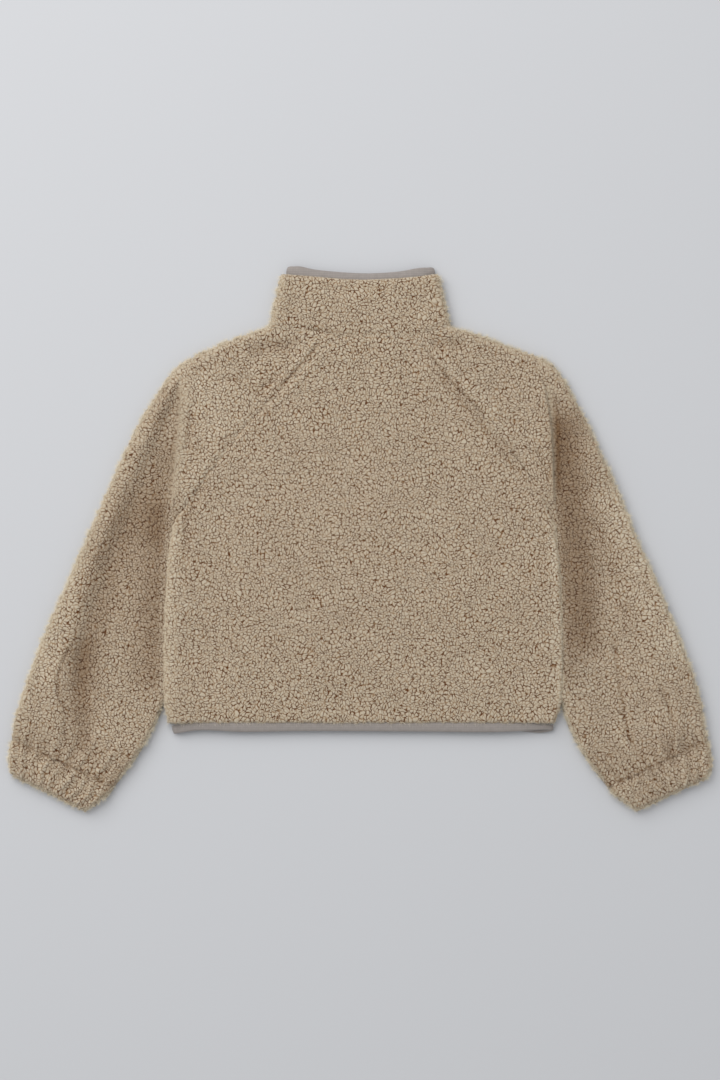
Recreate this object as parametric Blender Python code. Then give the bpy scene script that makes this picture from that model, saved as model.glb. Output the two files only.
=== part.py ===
# Plush zip cardigan, laid flat on its front with its back up.
# X runs across the garment, Y towards the collar, Z up. Metres.

import math

import bmesh
import bpy
import numpy as np

# Cloth and clearances
CLOTH = 0.0065            # fleece, its backing and pile together
SEAM = 0.0003             # clearance between pieces that are sewn together
LAYER = 0.0004            # clearance between layers that lie on each other
MOST_SLACK = 0.0034       # highest the upper layer stands clear of the lower one
FOLD_RADIUS = 0.007       # how far in from its edge a fold is rounded
FOLD_HIGH = 0.0155        # most that a fold's own top stands
SIDE_ROLL = 0.010         # how far in from a side seam the upper cloth rolls over
UNDER_ROLL = 0.007        # and the cloth beneath it
PLEAT_SHOULDER = 0.012    # where the cloth over the pleat starts to round down
PLEAT_LIP = 0.003
RIDGE_IN = 0.020          # the outer ridge of a sleeve, in from its folded edge
STEPS = 2                 # stations made for each row of a table

# Zip, size 5
ZIP_SLOT = 0.010          # between the two front edges
ZIP_FOOT_Y = -0.2460      # lower end of the tapes
ZIP_HEAD_Y = 0.2985       # upper end of the tapes
TAPE_WIDTH = 0.013
TAPE_THICK = 0.0005
TAPE_LOW = CLOTH + SEAM   # the tapes lie on the inner face of the fronts
CHAIN_WIDTH = 0.0058
CHAIN_THICK = 0.0024
SLIDER_Y = 0.289          # middle of the slider, closed up at the collar
SLIDER_LENGTH = 0.012
SLIDER_WIDTH = 0.0092
SLIDER_PART = 0.0024      # the tapes part this far from the middle round the neck
WING_THICK = 0.0008
BRIDGE_WIDTH = 0.0020
BRIDGE_THICK = 0.0010
BRIDGE_LOW = 0.0003
JOIN = 0.0002             # parts of one casting run into each other by this much
PLATE_THICK = 0.0011
HINGE_Y = 0.2905          # the pull tab turns about this line, along X
HINGE_Z = 0.00195
TAB_LENGTH = 0.028
TAB_WIDTH = 0.0062
TAB_THICK = 0.0009
TAB_WINDOW = 0.0036       # width of the opening that the bridge passes through
TAB_WINDOW_END = 0.0072   # where that opening ends, from the hinge

# Hem and neck
BACK_HEM_Y = -0.2505
FRONT_HEM_Y = -0.2522
LEFT_HEM_X = -0.2615
RIGHT_HEM_X = 0.2655
BACK_FLOOR = 0.0079       # underside of the back, clear of the zip tapes
BACK_TOP = 0.0145
BACK_SIDE_RISE = 0.0027   # the back stands this much higher along its side seams
SIDE_RISE_WIDTH = 0.055
COLLAR_TOP = 0.0153
BINDING_THICK = 0.0046
HEM_BINDING_TALL = 0.0085
COLLAR_BINDING_TALL = 0.0105

SLEEVE_COLUMNS = (
    "back_x back_y front_x front_y outer_x outer_y"
    " pleat roll seam cap inner dip dip_in ridge"
).split()
# A row is one section of the sleeve, from the neck down to the cuff seam.
# back, front: where the sleeve meets the back and the front, or its underarm seam
# outer: the folded outer edge
# pleat: share of the way out at which the pleat over the armhole has its edge
# roll: 1 where the inner edge rolls over beside the body, 0 at the raglan seams
# seam, cap, inner, dip, ridge: heights at the seam, on the pleat, beyond it,
# in the long dip (dip_in from the outer edge) and along the outer edge
LEFT_SLEEVE = (
    (-0.028, 0.279, -0.092, 0.250, -0.121, 0.292, 0.80, 0.0, 0.0150, 0.0153, 0.0153, 0.0153, 0.030, 0.0161),
    (-0.060, 0.250, -0.109, 0.226, -0.165, 0.277, 0.80, 0.0, 0.0138, 0.0153, 0.0152, 0.0152, 0.032, 0.0156),
    (-0.098, 0.213, -0.129, 0.196, -0.206, 0.260, 0.84, 0.0, 0.0138, 0.0160, 0.0156, 0.0156, 0.036, 0.0156),
    (-0.138, 0.172, -0.153, 0.160, -0.246, 0.238, 0.88, 0.0, 0.0138, 0.0168, 0.0154, 0.0152, 0.030, 0.0153),
    (-0.172, 0.135, -0.180, 0.125, -0.284, 0.188, 0.62, 0.0, 0.0142, 0.0176, 0.0140, 0.0137, 0.034, 0.0158),
    (-0.206, 0.090, -0.210, 0.085, -0.309, 0.144, 0.39, 0.0, 0.0150, 0.0178, 0.0140, 0.0137, 0.044, 0.0164),
    (-0.230, 0.052, -0.231, 0.050, -0.329, 0.102, 0.22, 0.0, 0.0158, 0.0178, 0.0142, 0.0137, 0.050, 0.0168),
    (-0.2535, 0.022, -0.2535, 0.022, -0.351, 0.052, 0.05, 0.5, 0.0160, 0.0164, 0.0144, 0.0137, 0.054, 0.0170),
    (-0.260, -0.012, -0.260, -0.012, -0.375, -0.003, 0.05, 1.0, 0.0150, 0.0150, 0.0144, 0.0137, 0.057, 0.0170),
    (-0.264, -0.062, -0.264, -0.062, -0.399, -0.058, 0.05, 1.0, 0.0150, 0.0150, 0.0146, 0.0137, 0.059, 0.0170),
    (-0.266, -0.115, -0.266, -0.115, -0.422, -0.109, 0.05, 1.0, 0.0150, 0.0150, 0.0147, 0.0137, 0.062, 0.0170),
    (-0.267, -0.170, -0.267, -0.170, -0.441, -0.155, 0.05, 1.0, 0.0150, 0.0150, 0.0148, 0.0138, 0.068, 0.0170),
    (-0.267, -0.222, -0.267, -0.222, -0.456, -0.198, 0.05, 1.0, 0.0150, 0.0150, 0.0148, 0.0139, 0.080, 0.0170),
    (-0.281, -0.257, -0.281, -0.257, -0.466, -0.229, 0.05, 1.0, 0.0150, 0.0150, 0.0150, 0.0142, 0.090, 0.0172),
    (-0.304, -0.296, -0.304, -0.296, -0.472, -0.251, 0.05, 1.0, 0.0150, 0.0150, 0.0156, 0.0150, 0.085, 0.0174),
    (-0.334, -0.336, -0.334, -0.336, -0.4745, -0.271, 0.05, 1.0, 0.0150, 0.0150, 0.0160, 0.0158, 0.075, 0.0170),
)
RIGHT_SLEEVE = (
    (0.071, 0.279, 0.096, 0.250, 0.122, 0.292, 0.80, 0.0, 0.0150, 0.0153, 0.0153, 0.0153, 0.020, 0.0161),
    (0.092, 0.250, 0.113, 0.226, 0.166, 0.278, 0.80, 0.0, 0.0138, 0.0153, 0.0152, 0.0152, 0.028, 0.0156),
    (0.124, 0.210, 0.136, 0.196, 0.214, 0.260, 0.84, 0.0, 0.0138, 0.0160, 0.0156, 0.0156, 0.036, 0.0156),
    (0.160, 0.174, 0.168, 0.160, 0.261, 0.240, 0.88, 0.0, 0.0138, 0.0168, 0.0154, 0.0152, 0.030, 0.0153),
    (0.190, 0.134, 0.196, 0.126, 0.295, 0.189, 0.64, 0.0, 0.0142, 0.0176, 0.0136, 0.0142, 0.034, 0.0158),
    (0.218, 0.100, 0.222, 0.094, 0.317, 0.145, 0.44, 0.0, 0.0150, 0.0178, 0.0136, 0.0144, 0.040, 0.0162),
    (0.243, 0.063, 0.245, 0.060, 0.336, 0.103, 0.22, 0.0, 0.0158, 0.0178, 0.0136, 0.0145, 0.044, 0.0165),
    (0.264, 0.022, 0.264, 0.022, 0.358, 0.052, 0.05, 0.5, 0.0160, 0.0164, 0.0136, 0.0146, 0.048, 0.0167),
    (0.269, -0.012, 0.269, -0.012, 0.380, -0.003, 0.05, 1.0, 0.0150, 0.0150, 0.0136, 0.0148, 0.052, 0.0168),
    (0.273, -0.062, 0.273, -0.062, 0.405, -0.058, 0.05, 1.0, 0.0150, 0.0150, 0.0136, 0.0150, 0.060, 0.0168),
    (0.275, -0.115, 0.275, -0.115, 0.426, -0.109, 0.05, 1.0, 0.0150, 0.0150, 0.0137, 0.0151, 0.068, 0.0168),
    (0.276, -0.170, 0.276, -0.170, 0.444, -0.155, 0.05, 1.0, 0.0150, 0.0150, 0.0139, 0.0152, 0.076, 0.0168),
    (0.274, -0.222, 0.274, -0.222, 0.459, -0.198, 0.05, 1.0, 0.0150, 0.0150, 0.0141, 0.0153, 0.082, 0.0168),
    (0.285, -0.257, 0.285, -0.257, 0.466, -0.229, 0.05, 1.0, 0.0150, 0.0150, 0.0146, 0.0154, 0.086, 0.0170),
    (0.306, -0.296, 0.306, -0.296, 0.470, -0.251, 0.05, 1.0, 0.0150, 0.0150, 0.0154, 0.0156, 0.085, 0.0172),
    (0.337, -0.337, 0.337, -0.337, 0.4735, -0.272, 0.05, 1.0, 0.0150, 0.0150, 0.0160, 0.0158, 0.075, 0.0170),
)
BODY_ROWS = 13            # rows of a sleeve table that the body shares, neck to hem

CUFF_COLUMNS = "inner_x inner_y outer_x outer_y high".split()
LEFT_CUFF = (
    (-0.3344, -0.3364, -0.4749, -0.2714, 0.0160),
    (-0.342, -0.3465, -0.4788, -0.288, 0.0178),
    (-0.355, -0.3585, -0.4797, -0.306, 0.0176),
    (-0.3745, -0.3705, -0.475, -0.322, 0.0152),
)
RIGHT_CUFF = (
    (0.3374, -0.3374, 0.4739, -0.2724, 0.0160),
    (0.346, -0.3475, 0.4782, -0.290, 0.0178),
    (0.3595, -0.359, 0.479, -0.307, 0.0176),
    (0.377, -0.3705, 0.4735, -0.325, 0.0152),
)

# The collar's two long edges as (x, y), from the zip round the left side,
# across the back of the neck and round the right side to the zip again.
# A front run is straight, so it has only its two ends.
COLLAR_NECK_EDGE = {
    "front_left": ((-0.005, 0.215), (-0.092, 0.250)),
    "left_fold": (-0.121, 0.292),
    "back": ((-0.075, 0.2856), (-0.028, 0.279), (0.0215, 0.279), (0.071, 0.279)),
    "right_fold": (0.122, 0.292),
    "front_right": ((0.096, 0.250), (0.005, 0.215)),
}
COLLAR_TOP_EDGE = {
    "front_left": ((-0.005, 0.299), (-0.080, 0.335)),
    "left_fold": (-0.103, 0.3615),
    "back": ((-0.064, 0.3575), (-0.026, 0.3545), (0.010, 0.3535), (0.052, 0.3555)),
    "right_fold": (0.107, 0.3615),
    "front_right": ((0.084, 0.335), (0.005, 0.299)),
}
# The binding on the collar starts inside the collar's rounded sides.
COLLAR_BINDING_EDGE = {
    "front_left": ((-0.005, 0.2995), (-0.080, 0.3355)),
    "left_fold": (-0.0985, 0.3625),
    "back": ((-0.064, 0.3579), (-0.026, 0.3549), (0.010, 0.3539), (0.052, 0.3559)),
    "right_fold": (0.1005, 0.3625),
    "front_right": ((0.084, 0.3355), (0.005, 0.2995)),
}
HEM_BINDING_EDGE = {
    "front_left": ((-0.0053, -0.2526), (-0.220, -0.2526)),
    "left_fold": (-0.2555, -0.2560),
    "back": ((-0.228, -0.2512), (-0.100, -0.2509), (0.080, -0.2509), (0.220, -0.2509)),
    "right_fold": (0.2625, -0.2530),
    "front_right": ((0.228, -0.2532), (0.0053, -0.2526)),
}


def table(names, rows):
    """The columns of a table as arrays, with STEPS smooth stations for each row."""
    rows = np.array(rows)
    padded = np.vstack([2 * rows[0] - rows[1], rows, 2 * rows[-1] - rows[-2]])
    stations = []
    for i in range(1, len(rows)):
        before, start, end, after = padded[i - 1:i + 3]
        for step in range(STEPS):
            t = step / STEPS
            stations.append(0.5 * (
                2 * start
                + (end - before) * t
                + (2 * before - 5 * start + 4 * end - after) * t ** 2
                + (3 * start - before - 3 * end + after) * t ** 3
            ))
    stations.append(rows[-1])
    columns = dict(zip(names, np.array(stations).T))
    if "roll" in columns:
        columns["roll"] = np.clip(columns["roll"], 0, 1)
    return columns


def toward(start, end):
    away = np.array(end) - np.array(start)
    return away / np.linalg.norm(away)


def at(plan, height):
    return np.array((plan[0], plan[1], height))


def smoothstep(share):
    share = min(max(share, 0.0), 1.0)
    return share * share * (3 - 2 * share)


def upper_inside(height, thick=CLOTH):
    """Height of the inner face of an upper layer whose outer face is at this height."""
    lowest = thick + LAYER
    return min(max(height - thick, lowest), lowest + MOST_SLACK)


def turn(edge, upper_way, lower_way, low, high, thick, radius=FOLD_RADIUS):
    """Outer and inner points of cloth folded round an edge, from above to below."""
    middle = (low + high) / 2
    outer = []
    inner = []
    for degrees in (90, 60, 30, 0, -30, -60, -90):
        angle = math.radians(degrees)
        way = upper_way if degrees > 0 else lower_way
        if degrees == 0:
            way = (np.array(upper_way) + np.array(lower_way)) / 2
        inset = radius * (1 - math.cos(angle))
        tight = thick + (radius - thick) * (1 - math.cos(angle))
        rise = math.sin(angle)
        outer.append(at(edge + way * inset, middle + (middle - low) * rise))
        inner.append(at(edge + way * tight, middle + (middle - low - thick) * rise))
    return outer, inner


def finish(name, colour, roughness, metallic=0.0):
    material = bpy.data.materials.new(name)
    material.use_nodes = True
    shader = material.node_tree.nodes["Principled BSDF"]
    shader.inputs["Base Color"].default_value = (*colour, 1)
    shader.inputs["Roughness"].default_value = roughness
    shader.inputs["Metallic"].default_value = metallic
    return material


def add(name, mesh, material):
    bmesh.ops.recalc_face_normals(mesh, faces=mesh.faces)
    data = bpy.data.meshes.new(name)
    mesh.to_mesh(data)
    mesh.free()
    data.materials.append(material)
    data.shade_smooth()
    data.set_sharp_from_angle(angle=math.radians(50))
    piece = bpy.data.objects.new(name, data)
    bpy.context.collection.objects.link(piece)
    return piece


def sew(name, outer, inner, material):
    """A closed piece of cloth between two grids of points, rows by columns."""
    mesh = bmesh.new()
    rows, columns = len(outer), len(outer[0])
    faces_of = []
    for grid in (outer, inner):
        made = bmesh.ops.create_grid(mesh, x_segments=columns - 1, y_segments=rows - 1, size=1)
        verts = made["verts"]
        for vert, point in zip(verts, (p for row in grid for p in row)):
            vert.co = point
        faces_of.append(verts)
    rim = [(0, j) for j in range(columns)]
    rim += [(i, columns - 1) for i in range(1, rows)]
    rim += [(rows - 1, j) for j in range(columns - 2, -1, -1)]
    rim += [(i, 0) for i in range(rows - 2, 0, -1)]
    for (i, j), (k, m) in zip(rim, rim[1:] + rim[:1]):
        first, second = i * columns + j, k * columns + m
        mesh.faces.new((
            faces_of[0][first],
            faces_of[0][second],
            faces_of[1][second],
            faces_of[1][first],
        ))
    return add(name, mesh, material)


def sleeve_section(s, clear):
    """Outer and inner points of one sleeve section, from the back seam to the front one."""
    outer_edge = np.array((s["outer_x"], s["outer_y"]))
    back = np.array((s["back_x"], s["back_y"]))
    front = np.array((s["front_x"], s["front_y"]))
    out_back, out_front = toward(back, outer_edge), toward(front, outer_edge)
    long_back = np.linalg.norm(outer_edge - back)
    long_front = np.linalg.norm(outer_edge - front)
    roll = s["roll"]
    seam_low = CLOTH + LAYER
    pleat = s["pleat"] * long_back
    shoulder = min(PLEAT_SHOULDER, pleat / 2)
    lip = min(PLEAT_LIP, pleat / 6)
    raised = (      # distance out and height where the sleeve lies over its own pleat
        (0, s["seam"]),
        (pleat * 0.15, s["seam"] * 0.4 + s["cap"] * 0.6),
        (pleat * 0.5, s["cap"]),
        (pleat - shoulder, s["cap"]),
        (pleat - lip, s["cap"] - (s["cap"] - s["inner"]) * 0.25),
        (pleat, (s["cap"] + s["inner"]) / 2),
        (pleat + lip * 1.3, s["inner"]),
    )
    outer, inner = [], []
    for k, (distance, height) in enumerate(raised):
        angle = math.radians(90 * min(k / 5, 1))
        rolled = SIDE_ROLL * (1 - math.cos(angle) + 0.6 * (k == 6))
        rolled_height = seam_low + (s["inner"] - seam_low) * math.sin(angle)
        rolled_inside = SIDE_ROLL * (0.5 + 0.1 * k)
        out = distance * (1 - roll) + rolled * roll + clear
        inside = distance * (1 - roll) + max(rolled, rolled_inside) * roll + clear
        z = height * (1 - roll) + rolled_height * roll
        outer.append(at(back + out_back * out, z))
        inner.append(at(back + out_back * inside, upper_inside(z)))
    start = np.linalg.norm(outer[-1][:2] - back)
    dip = max(long_back - s["dip_in"], start + 0.3 * (long_back - start - 0.03))
    ridge = long_back - RIDGE_IN
    for distance, height in (
        ((start + dip) / 2, (s["inner"] + s["dip"]) / 2),
        (dip, s["dip"]),
        ((dip + ridge) / 2, s["dip"] * 0.45 + s["ridge"] * 0.55),
        (ridge, s["ridge"]),
    ):
        plan = back + out_back * distance
        outer.append(at(plan, height))
        inner.append(at(plan, upper_inside(height)))
    fold_high = min(s["ridge"] * 0.95, FOLD_HIGH)
    folded = turn(outer_edge, -out_back, -out_front, 0, fold_high, CLOTH)
    outer += folded[0]
    inner += folded[1]
    for share in (0.7, 0.4, 0.2):
        plan = front + out_front * (long_front - FOLD_RADIUS) * share
        outer.append(at(plan, 0))
        inner.append(at(plan, CLOTH))
    for degrees in (90, 60, 30, 0):
        angle = math.radians(degrees)
        rolled = UNDER_ROLL * (1 - math.cos(angle))
        outer.append(at(
            front + out_front * (rolled + clear),
            roll * CLOTH * (1 - math.sin(angle)),
        ))
        inside = max(rolled, (roll * 0.7 + degrees / 90 * 0.3) * UNDER_ROLL)
        inner.append(at(front + out_front * (inside + clear), CLOTH))
    return outer, inner


def sleeve(name, rows, material):
    stations = table(SLEEVE_COLUMNS, rows)
    sections = [
        sleeve_section({column: stations[column][i] for column in stations}, SEAM / 2)
        for i in range(len(stations["roll"]))
    ]
    return sew(name, *zip(*sections), material)


def cuff(name, rows, material):
    """The elastic casing at the wrist: a flattened tube with its seam on the inner side."""
    stations = table(CUFF_COLUMNS, rows)
    outers, inners = [], []
    for i in range(len(stations["high"])):
        start = np.array((stations["inner_x"][i], stations["inner_y"][i]))
        end = np.array((stations["outer_x"][i], stations["outer_y"][i]))
        high = stations["high"][i]
        way, long = toward(start, end), np.linalg.norm(end - start)
        low_seam = CLOTH + LAYER
        outer, inner = [], []
        for degrees in (0, 22, 45, 67, 90):
            angle = math.radians(degrees)
            rolled = SIDE_ROLL * (1 - math.cos(angle))
            inside = max(rolled, SIDE_ROLL * (0.6 + degrees / 90 * 0.3))
            height = low_seam + (high - low_seam) * math.sin(angle)
            outer.append(at(start + way * rolled, height))
            inner.append(at(start + way * inside, upper_inside(height)))
        for share in (0.3, 0.5, 0.7):
            plan = start + way * long * share
            outer.append(at(plan, high))
            inner.append(at(plan, upper_inside(high)))
        folded = turn(end, -way, -way, 0, high - 0.0015, CLOTH)
        outer += folded[0]
        inner += folded[1]
        for share in (0.7, 0.5, 0.3):
            plan = start + way * long * share
            outer.append(at(plan, 0))
            inner.append(at(plan, CLOTH))
        for degrees in (90, 60, 30, 0):
            angle = math.radians(degrees)
            rolled = UNDER_ROLL * (1 - math.cos(angle))
            inside = max(rolled, SIDE_ROLL * (0.6 + degrees / 90 * 0.2))
            outer.append(at(start + way * rolled, CLOTH * (1 - math.sin(angle))))
            inner.append(at(start + way * inside, CLOTH))
        outers.append(outer)
        inners.append(inner)
    return sew(name, outers, inners, material)


def back_row(left, right, roll, seam, drop):
    """Outer and inner points of the back along one line, from left seam to right seam."""
    way, long = toward(left, right), np.linalg.norm(np.array(right) - np.array(left))
    seam_low = CLOTH + LAYER
    rolls = []
    for degrees in (0, 25, 50, 75, 90):
        angle = math.radians(degrees)
        rolls.append((
            SIDE_ROLL * (1 - math.cos(angle)),
            math.sin(angle),
            SIDE_ROLL * (0.6 + degrees / 90 * 0.4),
            0.022 * degrees / 90,
        ))
    sides = []
    for from_left in (True, False):
        points = []
        for rolled, rise, inside, flat in rolls:
            edge_high = BACK_TOP + BACK_SIDE_RISE * roll - drop
            trough = seam + (edge_high - seam) * smoothstep(flat / 0.022)
            height = roll * (seam_low + (edge_high - seam_low) * rise) + (1 - roll) * trough
            distance = roll * rolled + (1 - roll) * flat
            deep = roll * max(rolled, inside) + (1 - roll) * flat
            points.append((distance, deep, height))
        sides.append(points)
    outer, inner = [], []
    for distance, deep, height in sides[0]:
        low = max(upper_inside(height), (1 - roll) * (BACK_FLOOR - drop))
        outer.append(at(left + way * (SEAM / 2 + distance), height))
        inner.append(at(left + way * (SEAM / 2 + deep), low))
    for share in (0.10, 0.20, 0.34, 0.50, 0.66, 0.80, 0.90):
        from_side = min(share, 1 - share) * long
        rise = BACK_SIDE_RISE * roll * (1 - smoothstep(from_side / SIDE_RISE_WIDTH))
        plan = np.array(left) + way * long * share
        outer.append(at(plan, BACK_TOP + rise - drop))
        inner.append(at(plan, max(upper_inside(BACK_TOP + rise - drop), BACK_FLOOR)))
    for distance, deep, height in reversed(sides[1]):
        low = max(upper_inside(height), (1 - roll) * (BACK_FLOOR - drop))
        outer.append(at(right - way * (SEAM / 2 + distance), height))
        inner.append(at(right - way * (SEAM / 2 + deep), low))
    return outer, inner


def side_stations(rows, hem_x, hem_y, edge):
    """The seam that a body panel shares with a sleeve, neck to hem, with its roll and height."""
    stations = table(SLEEVE_COLUMNS, rows)
    shared = (BODY_ROWS - 1) * STEPS + 1
    seam = [
        (stations[edge + "_x"][i], stations[edge + "_y"][i],
         stations["roll"][i], stations["seam"][i])
        for i in range(shared)
    ]
    last = seam[-1]
    seam.append(((last[0] + hem_x) / 2 * 1.003, (last[1] + hem_y) / 2, 1.0, last[3]))
    seam.append((hem_x, hem_y, 1.0, last[3]))
    return seam


def back(material):
    left = side_stations(LEFT_SLEEVE, LEFT_HEM_X, BACK_HEM_Y, "back")
    right = side_stations(RIGHT_SLEEVE, RIGHT_HEM_X, BACK_HEM_Y, "back")
    outers, inners = [], []
    for i, (a, b) in enumerate(zip(left, right)):
        near_hem = smoothstep((i - len(left) + 4) / 3)
        outer, inner = back_row(
            np.array(a[:2]), np.array(b[:2]), a[2], a[3], 0.0010 * near_hem
        )
        outers.append(outer)
        inners.append(inner)
    return sew("back", outers, inners, material)


def front(name, rows, side, material):
    """One front, pile down on the ground, from its side seam to the zip."""
    hem_x = {"left": LEFT_HEM_X, "right": RIGHT_HEM_X}[side]
    sign = {"left": -1, "right": 1}[side]
    seam = side_stations(rows, hem_x, FRONT_HEM_Y, "front")
    neck_y = COLLAR_NECK_EDGE["front_" + side][0 if side == "left" else -1][1]
    outers, inners = [], []
    for i, (x, y, roll, _) in enumerate(seam):
        share = i / (len(seam) - 1)
        zip_edge = np.array((sign * ZIP_SLOT / 2, neck_y + (FRONT_HEM_Y - neck_y) * share))
        edge = np.array((x, y))
        way, long = toward(edge, zip_edge), np.linalg.norm(zip_edge - edge)
        outer, inner = [], []
        for degrees in (0, 30, 60, 90):
            angle = math.radians(degrees)
            rolled = UNDER_ROLL * (1 - math.cos(angle))
            inside = max(rolled, (roll * 0.7 + degrees / 90 * 0.3) * UNDER_ROLL)
            outer.append(at(
                edge + way * (rolled + SEAM / 2),
                roll * CLOTH * (1 - math.sin(angle)),
            ))
            inner.append(at(edge + way * (inside + SEAM / 2), CLOTH))
        for along in (0.25, 0.5, 0.75, 1.0):
            plan = edge + way * long * along
            outer.append(at(plan, 0))
            inner.append(at(plan, CLOTH))
        outers.append(outer)
        inners.append(inner)
    return sew(name, outers, inners, material)


def halved(ends):
    """The two ends of a straight run, with its middle between them."""
    return [ends[0], (ends[0] + ends[1]) / 2, ends[1]]


def ring_path(edge, low, high, thick, radius, raise_y=0.0):
    """Outer and inner points of a strip from zip to zip: front, side fold, back, side fold, front."""
    shift = np.array((0, raise_y))
    left_fold, right_fold = np.array(edge["left_fold"]) + shift, np.array(edge["right_fold"]) + shift
    front_left = halved([np.array(p) + shift for p in edge["front_left"]])
    front_right = halved([np.array(p) + shift for p in edge["front_right"]])
    across = [np.array(p) + shift for p in edge["back"]]
    outer = [at(p, low) for p in front_left]
    inner = [at(p, low + thick) for p in front_left]
    folded = turn(
        left_fold, toward(left_fold, across[0]), toward(left_fold, front_left[-1]),
        low, high, thick, radius,
    )
    outer += folded[0][::-1]
    inner += folded[1][::-1]
    outer += [at(p, high) for p in across]
    inner += [at(p, high - thick) for p in across]
    folded = turn(
        right_fold, toward(right_fold, across[-1]), toward(right_fold, front_right[0]),
        low, high, thick, radius,
    )
    outer += folded[0]
    inner += folded[1]
    outer += [at(p, low) for p in front_right]
    inner += [at(p, low + thick) for p in front_right]
    return np.array(outer), np.array(inner)


def collar(material):
    neck = ring_path(COLLAR_NECK_EDGE, 0, COLLAR_TOP, CLOTH, FOLD_RADIUS, SEAM + 0.0002)
    top = ring_path(COLLAR_TOP_EDGE, 0, COLLAR_TOP, CLOTH, FOLD_RADIUS)
    shares = (0, 0.12, 0.35, 0.65, 0.9, 1)
    outers = [neck[0] * (1 - share) + top[0] * share for share in shares]
    inners = [neck[1] * (1 - share) + top[1] * share for share in shares]
    return sew("collar", outers, inners, material)


def binding(name, edge, low, high, tall, material):
    """A bound edge: a strip of jersey folded over the cloth, rounded along its free side."""
    across = math.copysign(1, tall)
    outers, inners = [], []
    for share, squeeze in ((0, 0.0), (0.35, 0.0), (0.75, 0.0006), (1, 0.0015)):
        outer, inner = ring_path(
            edge, low + squeeze, high - squeeze, BINDING_THICK - 2 * squeeze,
            0.0052, abs(tall) * share * across,
        )
        outers.append(outer)
        inners.append(inner)
    return sew(name, outers, inners, material)


def box(mesh, low, high):
    """A box between two corners, added to a mesh."""
    low, high = np.array(low), np.array(high)
    verts = bmesh.ops.create_cube(mesh, size=1)["verts"]
    bmesh.ops.scale(mesh, verts=verts, vec=high - low)
    bmesh.ops.translate(mesh, verts=verts, vec=(low + high) / 2)
    return verts


def tape(name, sign, material):
    """One zip tape on the inner face of its front; it opens out round the slider's neck."""
    outers, inners = [], []
    for y, inner_x in (
        (ZIP_FOOT_Y, LAYER),
        (SLIDER_Y - SLIDER_LENGTH, LAYER),
        (SLIDER_Y, SLIDER_PART),
        (ZIP_HEAD_Y, SLIDER_PART),
    ):
        row = [np.array((sign * inner_x, y, TAPE_LOW)), np.array((sign * TAPE_WIDTH, y, TAPE_LOW))]
        outers.append(row)
        inners.append([p + np.array((0, 0, TAPE_THICK)) for p in row])
    return sew(name, outers, inners, material)


def chain(material):
    """The joined coils, as the bar that their teeth fill."""
    mesh = bmesh.new()
    half = CHAIN_WIDTH / 2
    head_y = SLIDER_Y - SLIDER_LENGTH / 4
    box(mesh, (-half, ZIP_FOOT_Y, CLOTH - CHAIN_THICK), (half, head_y, CLOTH))
    bmesh.ops.bevel(mesh, geom=mesh.edges[:], offset=0.0004, segments=1, affect="EDGES")
    return add("zip_chain", mesh, material)


def zip_box(material):
    """The retaining box at the foot of the zip."""
    mesh = bmesh.new()
    half = SLIDER_WIDTH / 2 - SEAM
    head_y = ZIP_FOOT_Y - SEAM
    box(mesh, (-half, head_y - 0.010, 0.0030), (half, head_y, TAPE_LOW + TAPE_THICK))
    bmesh.ops.bevel(mesh, geom=mesh.edges[:], offset=0.0005, segments=2, affect="EDGES")
    return add("zip_box", mesh, material)


def cut_or_join(target, tool, operation):
    """Boolean another object into this one; the tool stays as a hidden guide."""
    tool.hide_render = True
    tool.display_type = "WIRE"
    modifier = target.modifiers.new(tool.name, "BOOLEAN")
    modifier.operation = operation
    modifier.object = tool


def guide(name, low, high):
    mesh = bmesh.new()
    box(mesh, low, high)
    return add(name, mesh, bpy.data.materials["zip metal"])


def slider(material):
    """Two plates joined by a neck, with side flanges round the chain and a bridge for the tab."""
    half = SLIDER_LENGTH / 2
    low_y, high_y = SLIDER_Y - half, SLIDER_Y + half
    plate_low = CLOTH - CHAIN_THICK - SEAM - PLATE_THICK
    plate_high = plate_low + PLATE_THICK
    wing = TAPE_LOW + TAPE_THICK + SEAM
    mesh = bmesh.new()
    box(mesh, (-SLIDER_WIDTH / 2, low_y, plate_low), (SLIDER_WIDTH / 2, high_y, plate_high))
    bmesh.ops.bevel(
        mesh,
        geom=[e for e in mesh.edges if abs(e.verts[0].co.z - e.verts[1].co.z) > PLATE_THICK / 2],
        offset=0.0018, segments=3, profile=0.5, affect="EDGES",
    )
    body = add("zip_slider", mesh, material)
    side, chain_side = SLIDER_WIDTH / 2, CHAIN_WIDTH / 2 + SEAM
    flange_low, flange_high = low_y + 0.0018, high_y - 0.0040
    bridge, reach = BRIDGE_WIDTH / 2, BRIDGE_THICK * 2
    pieces = {
        "inner_plate": (
            (-side + 0.0006, low_y + 0.0010, wing),
            (side - 0.0006, high_y - 0.0006, wing + WING_THICK),
        ),
        "neck": (
            (-SLIDER_PART / 2, high_y - 0.0030, plate_high - JOIN),
            (SLIDER_PART / 2, high_y - 0.0010, wing + JOIN),
        ),
        "left_flange": ((-side, flange_low, plate_high - JOIN), (-chain_side, flange_high, CLOTH)),
        "right_flange": ((chain_side, flange_low, plate_high - JOIN), (side, flange_high, CLOTH)),
        "bridge_foot": (
            (-bridge, HINGE_Y - reach, BRIDGE_LOW),
            (bridge, HINGE_Y - BRIDGE_THICK, plate_low + JOIN),
        ),
        "bridge_head": (
            (-bridge, HINGE_Y + BRIDGE_THICK, BRIDGE_LOW),
            (bridge, HINGE_Y + reach, plate_low + JOIN),
        ),
        "bridge_bar": (
            (-bridge, HINGE_Y - reach, BRIDGE_LOW),
            (bridge, HINGE_Y + reach, BRIDGE_LOW + WING_THICK),
        ),
    }
    for name, (low, high) in pieces.items():
        cut_or_join(body, guide(name, low, high), "UNION")
    return body


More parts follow.
